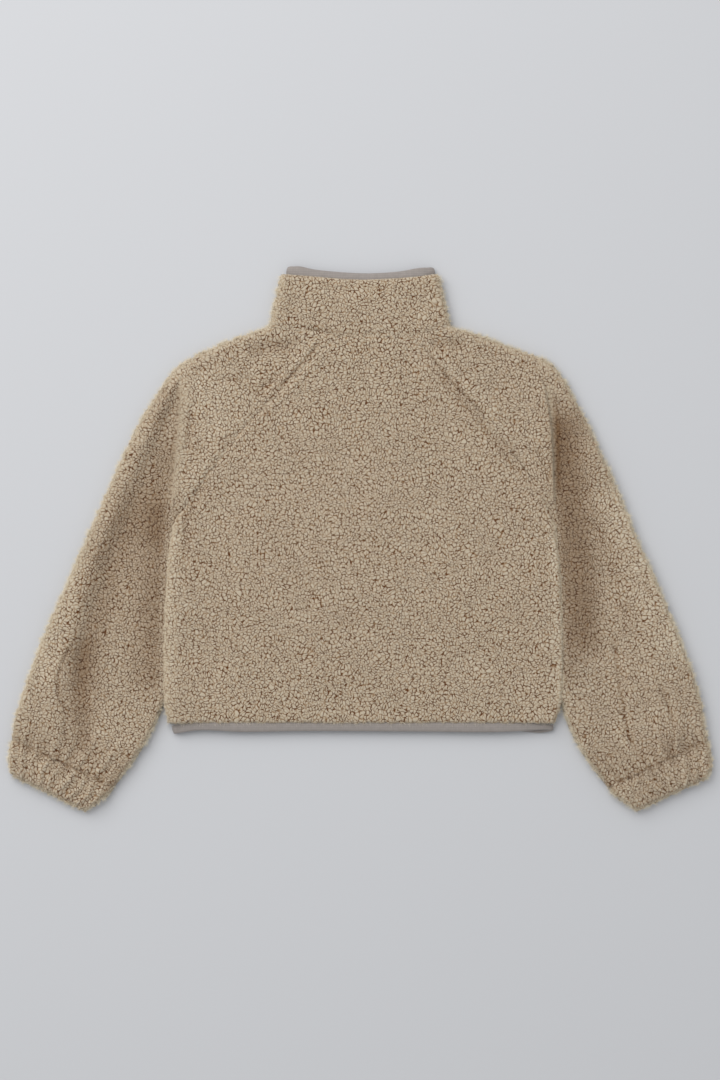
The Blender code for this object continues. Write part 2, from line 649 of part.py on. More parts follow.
def pull_tab(material):
    """A flat tab whose end bar is held in the slider's bridge; its origin is on that bar."""
    mesh = bmesh.new()
    head = TAB_THICK / 2
    box(mesh, (-TAB_WIDTH / 2, -TAB_LENGTH, -head), (TAB_WIDTH / 2, head, head))
    bmesh.ops.bevel(
        mesh,
        geom=[e for e in mesh.edges if abs(e.verts[0].co.z - e.verts[1].co.z) > head],
        offset=0.0012, segments=3, profile=0.5, affect="EDGES",
    )
    tab = add("zip_pull_tab", mesh, material)
    window = guide(
        "tab_window",
        (-TAB_WINDOW / 2, -TAB_WINDOW_END, -TAB_WIDTH),
        (TAB_WINDOW / 2, -head, TAB_WIDTH),
    )
    hole = guide(
        "tab_hole",
        (-0.0015, 0.0025 - TAB_LENGTH, -TAB_WIDTH),
        (0.0015, 0.0075 - TAB_LENGTH, TAB_WIDTH),
    )
    for tool in (window, hole):
        cut_or_join(tab, tool, "DIFFERENCE")
        tool.parent = tab
    tab.location = (0, HINGE_Y, HINGE_Z)
    return tab


def build():
    for old in list(bpy.data.objects):
        bpy.data.objects.remove(old, do_unlink=True)
    fleece = finish("beige fleece", (0.36, 0.27, 0.19), 0.95)
    jersey = finish("taupe jersey", (0.29, 0.25, 0.23), 0.85)
    woven = finish("taupe zip tape", (0.25, 0.21, 0.18), 0.9)
    coil = finish("taupe coil", (0.27, 0.23, 0.20), 0.45)
    metal = finish("zip metal", (0.40, 0.37, 0.34), 0.32, 1.0)
    back(fleece)
    front("left_front", LEFT_SLEEVE, "left", fleece)
    front("right_front", RIGHT_SLEEVE, "right", fleece)
    sleeve("left_sleeve", LEFT_SLEEVE, fleece)
    sleeve("right_sleeve", RIGHT_SLEEVE, fleece)
    cuff("left_cuff", LEFT_CUFF, fleece)
    cuff("right_cuff", RIGHT_CUFF, fleece)
    collar(fleece)
    binding("collar_binding", COLLAR_BINDING_EDGE, 0.0008, 0.0136, COLLAR_BINDING_TALL, jersey)
    binding("hem_binding", HEM_BINDING_EDGE, 0.0, 0.0123, -HEM_BINDING_TALL, jersey)
    tape("zip_tape_left", -1, woven)
    tape("zip_tape_right", 1, woven)
    chain(coil)
    zip_box(metal)
    slider(metal)
    pull_tab(metal)


build()
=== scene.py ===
import math

import bmesh
import bpy
import numpy as np
from bmesh import ops
from mathutils import Matrix, Vector, noise
from numpy.linalg import norm


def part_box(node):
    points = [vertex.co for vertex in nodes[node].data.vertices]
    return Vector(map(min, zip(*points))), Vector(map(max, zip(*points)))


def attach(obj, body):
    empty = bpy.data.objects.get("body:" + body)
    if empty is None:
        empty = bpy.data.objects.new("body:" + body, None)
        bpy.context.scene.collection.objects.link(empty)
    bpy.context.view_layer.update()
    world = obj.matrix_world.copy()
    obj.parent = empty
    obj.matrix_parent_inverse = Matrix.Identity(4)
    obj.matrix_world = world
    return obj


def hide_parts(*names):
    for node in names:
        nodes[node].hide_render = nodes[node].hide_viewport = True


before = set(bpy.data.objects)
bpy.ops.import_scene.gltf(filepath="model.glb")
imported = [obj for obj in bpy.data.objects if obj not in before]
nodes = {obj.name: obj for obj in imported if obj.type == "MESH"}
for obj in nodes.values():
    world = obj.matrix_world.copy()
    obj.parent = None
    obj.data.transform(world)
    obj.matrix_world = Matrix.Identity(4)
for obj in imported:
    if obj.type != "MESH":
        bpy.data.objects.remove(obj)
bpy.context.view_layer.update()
mm = 0.001
print("frame loaded:", len(nodes), "solids")


# Shapes: distances are in millimetres until a mesh is made
def smooth(share):
    share = np.clip(share, 0, 1)
    return share * share * (3 - 2 * share)


def bulge(distance, radius):  # a quarter round, 0 at the edge and 1 from the radius on
    return np.sqrt(np.clip(1 - (1 - np.clip(distance / radius, 0, 1)) ** 2, 0, 1))


def bell(distance, wide):  # 1 on a line, fading over this width
    return np.exp(-((distance / wide) ** 2))


def mix(a, b, share):
    return a * (1 - share) + b * share


def stations(rows, count):  # smooth rows between the ones given, even along the piece
    rows = np.array(rows, float)
    middle = (rows[:, 0:2] + rows[:, 2:4]) / 2
    far = np.r_[0, np.cumsum(norm(np.diff(middle, axis=0), axis=1))]
    slope = np.gradient(rows, far, axis=0)
    spot = np.linspace(0, far[-1], count)
    k = np.clip(np.searchsorted(far, spot, side="right") - 1, 0, len(far) - 2)
    span = (far[k + 1] - far[k])[:, None]
    t = (spot - far[k])[:, None] / span
    return (
        rows[k] * (2 * t**3 - 3 * t**2 + 1)
        + rows[k + 1] * (3 * t**2 - 2 * t**3)
        + slope[k] * span * (t**3 - 2 * t**2 + t)
        + slope[k + 1] * span * (t**3 - t**2)
    )


def line(points, count):  # a smooth line through a few points
    points = np.array(points, float)
    return stations(np.hstack([points[:, :2], points[:, :2], points]), count)[:, 4:]


def offRoute(plan, route):  # distance from a route, the side of it, the share along it, the way off it
    start, leg = route[:-1], np.diff(route, axis=0)
    long = norm(leg, axis=1)
    before = np.r_[0, np.cumsum(long)]
    t = np.clip(((plan[:, None] - start) * leg).sum(2) / long**2, 0, 1)
    away = plan[:, None] - (start + leg * t[..., None])
    far = norm(away, axis=2)
    k = far.argmin(1)
    i = np.arange(len(plan))
    side = np.sign(leg[k, 0] * away[i, k, 1] - leg[k, 1] * away[i, k, 0])
    return far[i, k], side, (before[k] + t[i, k] * long[k]) / before[-1], away[i, k]


# A fold: its height, half width and route, how far the pile parts on it, how much
# painted shade it gets (painted light below 0), the share that fades at each end, and its half width on the
# route's right
def crease(high, wide, route, parted=0, shade=0, fade=0.2, other=None):
    return dict(high=high, wide=wide, route=route, parted=parted, shade=shade, fade=fade, other=other or wide)


def creased(plan, creases, what="high"):  # what the creases add at each point
    flat = plan.reshape(-1, 2)
    total = np.zeros(len(flat))
    for fold in creases:
        if not fold[what]:
            continue
        far, side, share, _ = offRoute(flat, line(fold["route"], 5 * len(fold["route"])))
        ends = smooth(share / fold["fade"]) * smooth((1 - share) / fold["fade"])
        total += fold[what] * bell(far, np.where(side > 0, fold["wide"], fold["other"])) * ends
    return total.reshape(plan.shape[:-1])


def wavy(plan, size, seed):  # slow uneven waves, -1 to 1
    flat = (plan.reshape(-1, 2) / size).tolist()
    return np.array([noise.noise((x, y, seed)) for x, y in flat]).reshape(plan.shape[:-1])


def knobbly(points, size, seed):  # small uneven bumps, -1 to 1
    flat = (points.reshape(-1, 3) / size + seed).tolist()
    return np.array([noise.noise(p) for p in flat]).reshape(points.shape[:-1])


def knotted(distance, where, heights):  # eased from each height to the next
    out = np.zeros(distance.shape) + heights[0]
    for a, b, low, high in zip(where, where[1:], heights, heights[1:]):
        out += (high - low) * smooth((distance - a) / np.maximum(b - a, 0.01))
    return out


def even(count):  # shares from 0 to 1, one for each row
    return np.linspace(0, 1, count)[:, None]


def lengthOf(left, right):  # along the middle of a panel
    return norm(np.diff((left + right) / 2, axis=0), axis=1).sum()


def grid(mesh, points):
    rows, columns = points.shape[:2]
    verts = ops.create_grid(mesh, x_segments=columns - 1, y_segments=rows - 1, size=1)["verts"]
    for vert, point in zip(verts, points.reshape(-1, 3).tolist()):
        vert.co = point
    return verts


def facing(points):  # unit normals of a grid of points
    out = np.cross(np.gradient(points, axis=1), np.gradient(points, axis=0))
    return out / np.maximum(norm(out, axis=2, keepdims=True), 1e-12)


def meshData(name, mesh):
    data = bpy.data.meshes.new(name)
    mesh.to_mesh(data)
    mesh.free()
    return data


def placed(name, data):
    thing = bpy.data.objects.new(name, data)
    bpy.context.collection.objects.link(thing)
    return thing


def finished(name, mesh, material):
    piece = placed(name, meshData(name, mesh))
    piece.data.shade_smooth()
    piece.data.materials.append(material)
    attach(piece, "garment")
    return piece


# Node tools shared by the materials and by the relief on the mesh
operations = {"+": "ADD", "-": "SUBTRACT", "*": "MULTIPLY", "*+": "MULTIPLY_ADD"}


def tools(tree):
    def put(socket, value):
        if isinstance(value, bpy.types.NodeSocket):
            tree.links.new(value, socket)
        else:
            socket.default_value = value

    def fill(node, **inputs):
        for key, value in inputs.items():
            put(node.inputs[key.replace("_", " ")], value)
        return node

    def add(kind, settings=None, **inputs):
        node = tree.nodes.new(kind)
        for key, value in (settings or {}).items():
            setattr(node, key, value)
        return fill(node, **inputs)

    def calc(sign, *values, clamp=False):
        node = add("ShaderNodeMath", dict(operation=operations.get(sign, sign), use_clamp=clamp))
        for socket, value in zip(node.inputs, values):
            put(socket, value)
        return node.outputs[0]

    def vector(sign, *values, scale=None):
        node = add("ShaderNodeVectorMath", dict(operation=operations.get(sign, sign)))
        for socket, value in zip(node.inputs, values):
            put(socket, value)
        if scale is not None:
            put(node.inputs["Scale"], scale)
        return node.outputs[0]

    def cloudy(place, scale, detail=0.0, output=0, across="3D"):
        settings = dict(noise_dimensions=across)
        return add("ShaderNodeTexNoise", settings, Scale=scale, Detail=detail, Vector=place).outputs[output]

    return fill, add, calc, vector, cloudy


def newMaterial(name):
    made = bpy.data.materials.new(name)
    made.use_nodes = True
    return made, made.node_tree, made.node_tree.nodes["Principled BSDF"]


def plain(name, colour):
    made, tree, shader = newMaterial(name)
    fill, *_ = tools(tree)
    fill(shader, Base_Color=(*colour, 1), Roughness=0.9)
    return made


def newGroup(name):  # geometry nodes that read and give one mesh
    tree = bpy.data.node_groups.new(name, "GeometryNodeTree")
    for way in ("INPUT", "OUTPUT"):
        tree.interface.new_socket("Geometry", in_out=way, socket_type="NodeSocketGeometry")
    return tree


pile = dict(
    curl=4.2 * mm,  # size of one curl
    winding=6.0 * mm,  # size of the bends in the gaps that run on between curls
    clump=7.5 * mm,  # size of the clumps that open along a bend
    sway=10 * mm,  # how far patches of curls lean one way or another
    comb=3.2 * mm,  # the same, in smaller patches
    jag=2.7 * mm,  # unevenness of a curl's edge
    clouds=170.0,  # scale of the patches where gaps close up
    uneven=1.0,  # how much curls differ in size, 0 to 1
    gapWide=0.162,  # width of the gaps, as a share of a curl
    dome=0.40,  # roundness of a curl
    closed=0.58,  # how far some of the gaps close up
    lift=0.55 * mm,  # relief on the mesh
    bump=0.50 * mm,  # relief in the shading
    # the colour follows the curls' height: painted shade in the gaps and at their sides, painted light on the
    # curl tops
    gapShadeColour=(0.095, 0.031, 0.008),
    creaseShadeColour=(0.262, 0.166, 0.089),
    curlColour=(0.400, 0.321, 0.229),
    tipLitColour=(0.492, 0.426, 0.328),
    # paler pile along folds and soft bands: painted light
    fuzzLightColour=(0.470, 0.390, 0.276),
    shadeTint=(0.89, 1.06, 1.19),  # painted shade in deep folds turns browner than it darkens
)


def curls(tree, place):  # 0 to 1 in the gaps between curls, 0 to 1 up to a curl's top, and where
    _, add, calc, vector, cloudy = tools(tree)
    where = place
    for scale, amount in ((30.0, pile["sway"]), (85.0, pile["comb"]), (260.0, pile["jag"])):
        wind = vector("-", cloudy(where, scale, 0.0, "Color", "2D"), (0.5, 0.5, 0.5))
        where = vector("+", where, vector("SCALE", wind, scale=amount))
    bend = calc("ABSOLUTE", calc("-", cloudy(where, 1 / pile["winding"], across="2D"), 0.5))
    edge, middle = cells(tree, where, "curl", "DISTANCE_TO_EDGE"), cells(tree, where, "curl", "F1")
    near = calc("MINIMUM", edge, calc("*", bend, 4.0))
    parted = add("ShaderNodeMapRange", dict(interpolation_type="SMOOTHSTEP"), Value=near,
                 From_Max=pile["gapWide"], To_Min=1.0, To_Max=0.0).outputs[0]
    shut = calc("*+", cloudy(place, pile["clouds"], 1.0, across="2D"), 6.0, -2.5, clamp=True)
    kept = calc("*+", shut, pile["closed"], 1 - pile["closed"])
    large = calc("*+", middle, 3.4, -0.55, clamp=True)  # the smallest curls stay light
    kept = calc("*", kept, large)
    return calc("*", parted, kept), calc("*", near, 1.5, clamp=True), where


def cells(tree, where, size, feature):
    _, add, *_ = tools(tree)
    return add("ShaderNodeTexVoronoi", dict(feature=feature, voronoi_dimensions="2D"), Vector=where,
               Scale=1 / pile[size], Randomness=pile["uneven"]).outputs["Distance"]


def cracks(tree, where, opened):  # clumps of curls part along a bend
    _, _, calc, *_ = tools(tree)
    edge = cells(tree, where, "clump", "DISTANCE_TO_EDGE")
    return calc("*", calc("*+", edge, -17.0, 1.1, clamp=True), opened)


def fleeceMaterial():
    made, tree, shader = newMaterial("plush_fleece")
    fill, add, calc, vector, cloudy = tools(tree)

    def painted(name, output="Fac"):
        return add("ShaderNodeAttribute", dict(attribute_name=name)).outputs[output]

    place = painted("rest", "Vector")
    gap, high, where = curls(tree, place)
    fuzz = painted("fuzz")
    gap = calc("*", gap, calc("*+", fuzz, -0.28, 1.0))
    gap = calc("MAXIMUM", gap, cracks(tree, where, painted("open")))
    height = calc("-", calc("*", high, pile["dome"]), gap)
    height = calc("+", height, calc("*", cloudy(place, 800.0, 2.0), 0.35))  # fine grain
    # painted shade in the gaps and painted light on the curl tops, from the height
    colour = add("ShaderNodeValToRGB", Fac=calc("*+", height, 0.5, 0.5))
    ramp = colour.color_ramp.elements
    ramp[0].position, ramp[0].color = 0.27, (*pile["gapShadeColour"], 1)
    ramp[1].position, ramp[1].color = 0.80, (*pile["tipLitColour"], 1)
    ramp.new(0.42).color = (*pile["creaseShadeColour"], 1)
    ramp.new(0.57).color = (*pile["curlColour"], 1)
    # painted light: the pile along folds and soft bands turns paler, with fewer gaps
    edge = add("ShaderNodeMix", dict(data_type="RGBA"), Factor=calc("*", fuzz, 0.3))
    tree.links.new(colour.outputs[0], edge.inputs[6])
    edge.inputs[7].default_value = (*pile["fuzzLightColour"], 1)
    patchy = calc("*+", cloudy(place, 14.0, 2.0), 0.16, 0.92)
    tone = vector("SCALE", edge.outputs[2], scale=patchy)
    # painted shade along folds, valleys and seams, and painted light where it is below 0
    dark = vector("SCALE", pile["shadeTint"], scale=painted("shade"))
    tone = vector("*", tone, vector("-", (1.0, 1.0, 1.0), dark))
    bump = add("ShaderNodeBump", Strength=1.0, Distance=pile["bump"], Height=height).outputs[0]
    fill(shader, Base_Color=tone, Normal=bump, Roughness=0.95, Specular_IOR_Level=0.15,
         Sheen_Weight=0.6, Sheen_Roughness=0.45, Sheen_Tint=(1.0, 0.86, 0.68, 1))
    return made


def named(add, name, kind="FLOAT"):
    return add("GeometryNodeInputNamedAttribute", dict(data_type=kind), Name=name).outputs["Attribute"]


def reliefGroup():  # lifts the curls off the mesh, from the same pattern
    tree = newGroup("curl_relief")
    _, add, calc, vector, _ = tools(tree)
    gap, high, where = curls(tree, named(add, "rest", "FLOAT_VECTOR"))
    crack = cracks(tree, where, named(add, "open"))
    height = calc("-", calc("*+", high, pile["dome"], 1 - pile["dome"]), gap)
    height = calc("-", height, calc("*", crack, 1.6))
    height = calc("*", calc("-", height, named(add, "sink")), named(add, "lift"))
    normal = add("GeometryNodeInputNormal").outputs[0]
    lifted = vector("SCALE", normal, scale=calc("*", height, pile["lift"]))
    moved = add("GeometryNodeSetPosition", Geometry=add("NodeGroupInput").outputs[0], Offset=lifted)
    tree.links.new(moved.outputs[0], add("NodeGroupOutput").inputs[0])
    return tree


fleece = fleeceMaterial()
relief = reliefGroup()


def applied(piece, name, group):
    piece.modifiers.new(name, "NODES").node_group = group
    graph = bpy.context.evaluated_depsgraph_get()
    made = bpy.data.meshes.new_from_object(piece.evaluated_get(graph))
    piece.modifiers.clear()
    piece.data = made
    return piece


# Folded edges of the fleece, in millimetres: curls and loose fibres stand off them
edges = dict(
    rim=3.2,  # half width of the line along the edge
    knobs=[(2.8, 6.5, 3.3), (1.8, 3.1, 8.8)],  # height, size and seed of the bumps there
    knobDrop=1.0,
    lean=0.4, leanReach=9,  # curls lean outward there, by this share up to this distance
    roundHigh=8,  # the sides unroll about this height
    lift=2.6, shade=-0.40,  # relief on the rim, and painted light on its turned-down sides
)


def cloth(name, points, piece, flip=False, step=3, folds=(), soft=(), paintedShade=0, airy=1.0):
    # a closed shell: the outer face as given and a coarser inner one; folds and soft are
    # routes with a width, where the pile has fewer gaps and painted light, and only folds have a rim of loose
    # curls
    away = facing(points) * (-1 if flip else 1)
    plan = points[..., :2].copy()
    near, rim, leaning = np.zeros(plan.shape[:2]), np.zeros(plan.shape[:2]), np.zeros(plan.shape)
    for route, wide, bare in [(*fold, 0) for fold in folds] + [(*fold, 1) for fold in soft]:
        far, _, _, off = offRoute(plan.reshape(-1, 2), np.array(route, float))
        far = far.reshape(near.shape)
        ragged = wide * (1 + 0.5 * wavy(plan, 11, 7.7) + 0.35 * wavy(plan, 38, 2.9))
        near = np.maximum(near, bell(far, np.maximum(ragged, 1.5)))
        if not bare:
            rim = np.maximum(rim, airy * bell(far, edges["rim"]))
            leans = edges["lean"] * (1 - np.exp(-far / edges["leanReach"])) * edges["leanReach"]
            leaning += off.reshape(plan.shape) * (leans / np.maximum(far, 0.1))[..., None]
    bumps = sum(high * knobbly(points, size, seed) for high, size, seed in edges["knobs"]) - edges["knobDrop"]
    points = points + away * (rim**0.5 * (away[..., 2] > -0.6) * bumps)[..., None]
    points[..., 2] = np.maximum(points[..., 2], 0.1)
    mesh = bmesh.new()
    outer = grid(mesh, points * mm)
    rims = [edge for edge in mesh.edges if edge.is_boundary]
    known = set(rims)
    grid(mesh, (points - away * piece["thick"])[::step, ::step] * mm)
    rims += [edge for edge in mesh.edges if edge.is_boundary and edge not in known]
    ops.bridge_loops(mesh, edges=rims)
    ops.recalc_face_normals(mesh, faces=mesh.faces)
    count = len(mesh.verts)
    made = finished(name, mesh, fleece)
    upper = away[..., 2] > -0.2
    creases = piece.get("creases", ())
    # painted light: the rim's sides are lightened the more they turn away from upward
    rimPaintedLight = edges["shade"] * rim * (1 - np.clip(away[..., 2], 0, 1))
    values = {
        "fuzz": near,
        "halo": rim * (away[..., 2] > -0.35) * (away[..., 2] < 0.75),
        "open": creased(plan, creases, "parted") * upper,
        "shade": (creased(plan, creases, "shade") + paintedShade) * upper + rimPaintedLight,
        "lift": np.where(upper, 1.0 + edges["lift"] * rim, 0.6),
        "sink": np.where(away[..., 2] < -0.3, 1.0, 0.55),
    }
    for key, value in values.items():
        full = np.zeros(count, np.float32)
        full[:len(outer)] = value.ravel()
        made.data.attributes.new(key, "FLOAT", "POINT").data.foreach_set("value", full)
    rest = np.zeros((count, 3), np.float32)  # the cloth laid flat: sides unroll outward
    high = edges["roundHigh"]
    unrolled = np.clip(high - np.abs(points[..., 2:] - high), 0, high) * away[..., :2]
    rest[:len(outer), :2] = (plan + unrolled - leaning).reshape(-1, 2) * mm / piece.get("coarse", 1.0)
    made.data.attributes.new("rest", "FLOAT_VECTOR", "POINT").data.foreach_set("vector", rest.ravel())
    print(name, len(made.data.polygons), "faces")
    return applied(made, "curls", relief)


# Back panel, neck to hem: left x, y and right x, y of each row, then 1 where the side
# seams roll over beside the sleeves
back = dict(
    rows=[
        (-28, 279, 71, 279, 0),
        (-60, 250, 92, 250, 0),
        (-98, 213, 124, 210, 0),
        (-138, 172, 160, 174, 0),
        (-172, 135, 190, 134, 0),
        (-206, 90, 218, 100, 0),
        (-230, 52, 243, 63, 0.1),
        (-254, 22, 265, 22, 0.7),
        (-262, -12, 271, -12, 1),
        (-266, -62, 275, -62, 1),
        (-268, -115, 277, -115, 1),
        (-269, -170, 278, -170, 1),
        (-267.5, -222, 275, -222, 1),
        (-261.5, -249.6, 265.5, -249.6, 1),
    ],
    long=292, across=292, thick=5.0,
    high=17.0,  # the panel's upper face
    shoulder=3.2, shoulderIn=16, shoulderWide=26,  # it rises by this, so far in and so wide
    lap=2.2, tight=6.0,  # past the seams, and the width of the closer rows at the sides
    seamDrop=1.6, seamRound=9.0,
    sideLow=8.2, sideRound=8.0,
    hemDrop=4.0, hemRound=7.0,
    cut=(0.545, 0.540), cutArea=0.236,
    leftBand=12, rightBand=6, hemBand=1.6,  # width of the soft band along each side, where the pile has fewer gaps and painted light
    creases=[
        crease(0.9, 5, [(155, -101), (205, -104), (262, -100)], 0.25, other=9),
        crease(1.0, 5, [(-40, 262), (-66, 236), (-100, 200), (-150, 150), (-190, 106)], 0.35, -0.05),
        crease(-1.0, 6, [(-204, 84), (-220, 60), (-232, 30), (-236, -10)], 0.8, 0.07),
        crease(-0.8, 4, [(84, 250), (112, 216), (150, 174), (190, 124), (226, 72)], 0.5, 0.09),
        crease(-0.9, 6, [(-240, 60), (-236, 0), (-238, -60)], 0.5),
        crease(-0.8, 6, [(248, 50), (246, -20), (250, -90)], 0.35),
        crease(0.8, 22, [(-120, 60), (-40, 40), (60, 52)]),
        crease(0, 11, [(-248, 10), (-255, -62), (-257, -115), (-258, -170), (-257, -226)], 0, -0.08, 0.05),
        crease(0, 8, [(262, 10), (268, -62), (270, -115), (271, -170), (268, -226)], 0, -0.20, 0.05),
        crease(0.7, 20, [(-200, -180), (-90, -190), (30, -178)]),
        crease(-0.6, 24, [(90, 170), (60, 60), (80, -60)]),
    ],
)

# Sleeves, neck to cuff: where the sleeve meets the back, its folded outer edge and where
# it meets the front, as x, y; then how far out the fold over the armhole reaches, and
# heights at the seam, on that fold, beyond it, in the long dip and on the outer ridge,
# with the dip's and the ridge's distance from the edge, then 1 where the inner edge rolls
sleeveColumns = "seamX seamY edgeX edgeY frontX frontY fold seam cap inner dip ridge dipIn ridgeIn roll"
sleeveCut = dict(
    long=440, across=96, under=34, thick=5.0, coarse=0.98,
    edgeRound=9.0, innerRound=8.0, innerLow=6.9, tuck=6.0,
    lap=2.2,  # it goes this far past its seams
    capEdge=1.6,  # the fold over the armhole drops within this of its edge
    ease=31,  # length of the bends in the gathers
    underHigh=5.6, underRound=6.0,  # the layer underneath rises this much at the inner edge
)
leftSleeve = dict(
    sleeveCut, name="fleece_left_sleeve", stands="left_sleeve", flip=False,
    rows=[
        (-28, 279, -121, 292, -92, 250, 70, 15.9, 16.5, 16.5, 16.5, 16.6, 34, 16, 0),
        (-60, 250, -165, 277, -109, 226, 78, 16, 16.5, 16.5, 16.5, 16.6, 34, 16, 0),
        (-98, 213, -206, 260, -129, 196, 88, 16, 17, 16.8, 16.6, 16.6, 36, 16, 0),
        (-138, 172, -246, 238, -153, 160, 112, 16.1, 18, 16.6, 16.4, 16.6, 20, 13, 0),
        (-172, 135, -284, 188, -180, 125, 81, 16.2, 19.2, 13, 12.2, 18.5, 34, 15, 0),
        (-206, 90, -309, 144, -210, 85, 50, 16.2, 19.6, 13, 12.2, 19.2, 40, 17, 0),
        (-230, 52, -329, 102, -231, 50, 27.5, 16, 19.4, 13.2, 12.2, 19.6, 44, 18, 0),
        (-254, 22, -351, 52, -253.5, 22, 5, 12, 13.6, 13.6, 12.2, 20, 47, 20, 0.7),
        (-260.5, -12, -375, -3, -260, -12, 5, 12, 14, 14, 12.2, 20, 50, 22, 1),
        (-264.5, -62, -399, -58, -264, -62, 5, 12, 14.4, 14.4, 12.2, 20.2, 55, 26, 1),
        (-266.5, -115, -422, -109, -266, -115, 5, 12, 14.8, 14.8, 12.2, 20.2, 60, 30, 1),
        (-267.5, -170, -441, -155, -267, -170, 5, 12, 15.2, 15.2, 12.2, 20.2, 66, 37, 1),
        (-268, -222, -456, -198, -267, -222, 5, 13, 15.6, 15.6, 12.4, 20, 78, 47, 1),
        (-281, -257, -466, -229, -281, -257, 5, 13, 16, 16, 12.8, 19.4, 90, 60, 1),
        (-304, -296, -472, -251, -304, -296, 5, 13, 16.5, 16.5, 13.4, 18.6, 96, 72, 1),
        (-334, -336, -474.5, -271, -334, -336, 5, 13, 15.8, 15.8, 15.3, 16.3, 90, 70, 1),
    ],
    cut=(0.33, 0.67), cutArea=0.205,
    outerBand=9, innerBand=7,  # width of the soft band along each fold, where the pile has fewer gaps and painted light
    capRoute=[(-240, 209), (-244, 160), (-249, 110), (-254, 59)], capBand=8, capSoft=1.8,
    gatherShade=0.22,
    gathers=[  # place across, height, half width and length of each
        (0.07, 1.6, 4, 45), (0.17, 2.6, 4.8, 75), (0.28, 1.4, 4, 38), (0.40, 2.8, 5.6, 80),
        (0.53, 1.7, 4, 52), (0.63, 2.4, 4.8, 66), (0.75, 1.5, 4, 40), (0.86, 2.2, 4.8, 58),
        (0.95, 1.4, 4, 36),
    ],
    creases=[
        crease(-1.5, 2.6, [(-384, -137), (-394, -148), (-407, -176), (-408, -213), (-398, -239),
            (-401, -258), (-394, -281)], 0.9, 0.12, 0.1),
        crease(1.8, 9, [(-374, -100), (-396, -150), (-417, -186), (-417, -230), (-412, -285)]),
        crease(1.2, 8, [(-386, -130), (-390, -180), (-386, -230), (-382, -290)], 0.5),
        crease(-1.6, 13, [(-372, -120), (-378, -200), (-374, -250), (-370, -308)], 0, 0.22, 0.15),
        crease(0.5, 9, [(-318, 60), (-345, 8), (-368, -50), (-384, -110)], 0.8),
        crease(-1.6, 6, [(-98, 228), (-114, 220), (-145, 190)], 0.9, 0.05),
        crease(-2.6, 9, [(-155, 252), (-118, 262), (-80, 264)], 0.3, 0.18),
        crease(-1.6, 1.8, [(-50, 273), (-70, 250), (-90, 227), (-114, 202)], 0.5, 0.34),
        crease(1.2, 4, [(-52, 279), (-78, 253), (-102, 226), (-124, 204)], 0, -0.10, 0.15),
        crease(-1.6, 2.2, [(-180, 116), (-196, 99), (-214, 76), (-229, 54)], 0.6, 0.26),
        crease(0.8, 9, [(-182, 132), (-206, 104), (-226, 74), (-238, 48)], 0, -0.09),
        crease(-1.2, 5, [(-198, 216), (-170, 218), (-138, 221)], 0.6),
        crease(-1.6, 5, [(-227, 190), (-229, 165), (-236, 112)], 0.9),
        crease(-0.3, 22, [(-262, 150), (-300, 70), (-326, 0), (-350, -82), (-372, -173), (-380, -296)],
            0, 0.30, 0.3),
        crease(0, 19, [(-256, 222), (-266, 170), (-275, 112), (-280, 50), (-284, -20)], 0, 0.16, 0.12),
        crease(0, 4.5, [(-245, 212), (-249, 166), (-254, 112), (-259, 62)], 0, 0.14, 0.08),
        crease(0, 36, [(-225, 226), (-200, 180), (-180, 140)], 0, -0.10, 0.1),
        crease(0, 27, [(-272, 80), (-286, -30), (-292, -130), (-296, -230)], 0, 0.24, 0.15),
        crease(0, 4, [(-252, 150), (-262, 80), (-272, -30), (-276, -130), (-274, -220)],
            0, 0.14, 0.1, other=16),
        crease(0, 22, [(-372, -20), (-398, -90), (-420, -150), (-440, -215)], 0, -0.08),
        crease(0, 4, [(-338, -333), (-470, -272)], 0.8, 0, 0.04),
    ],
)
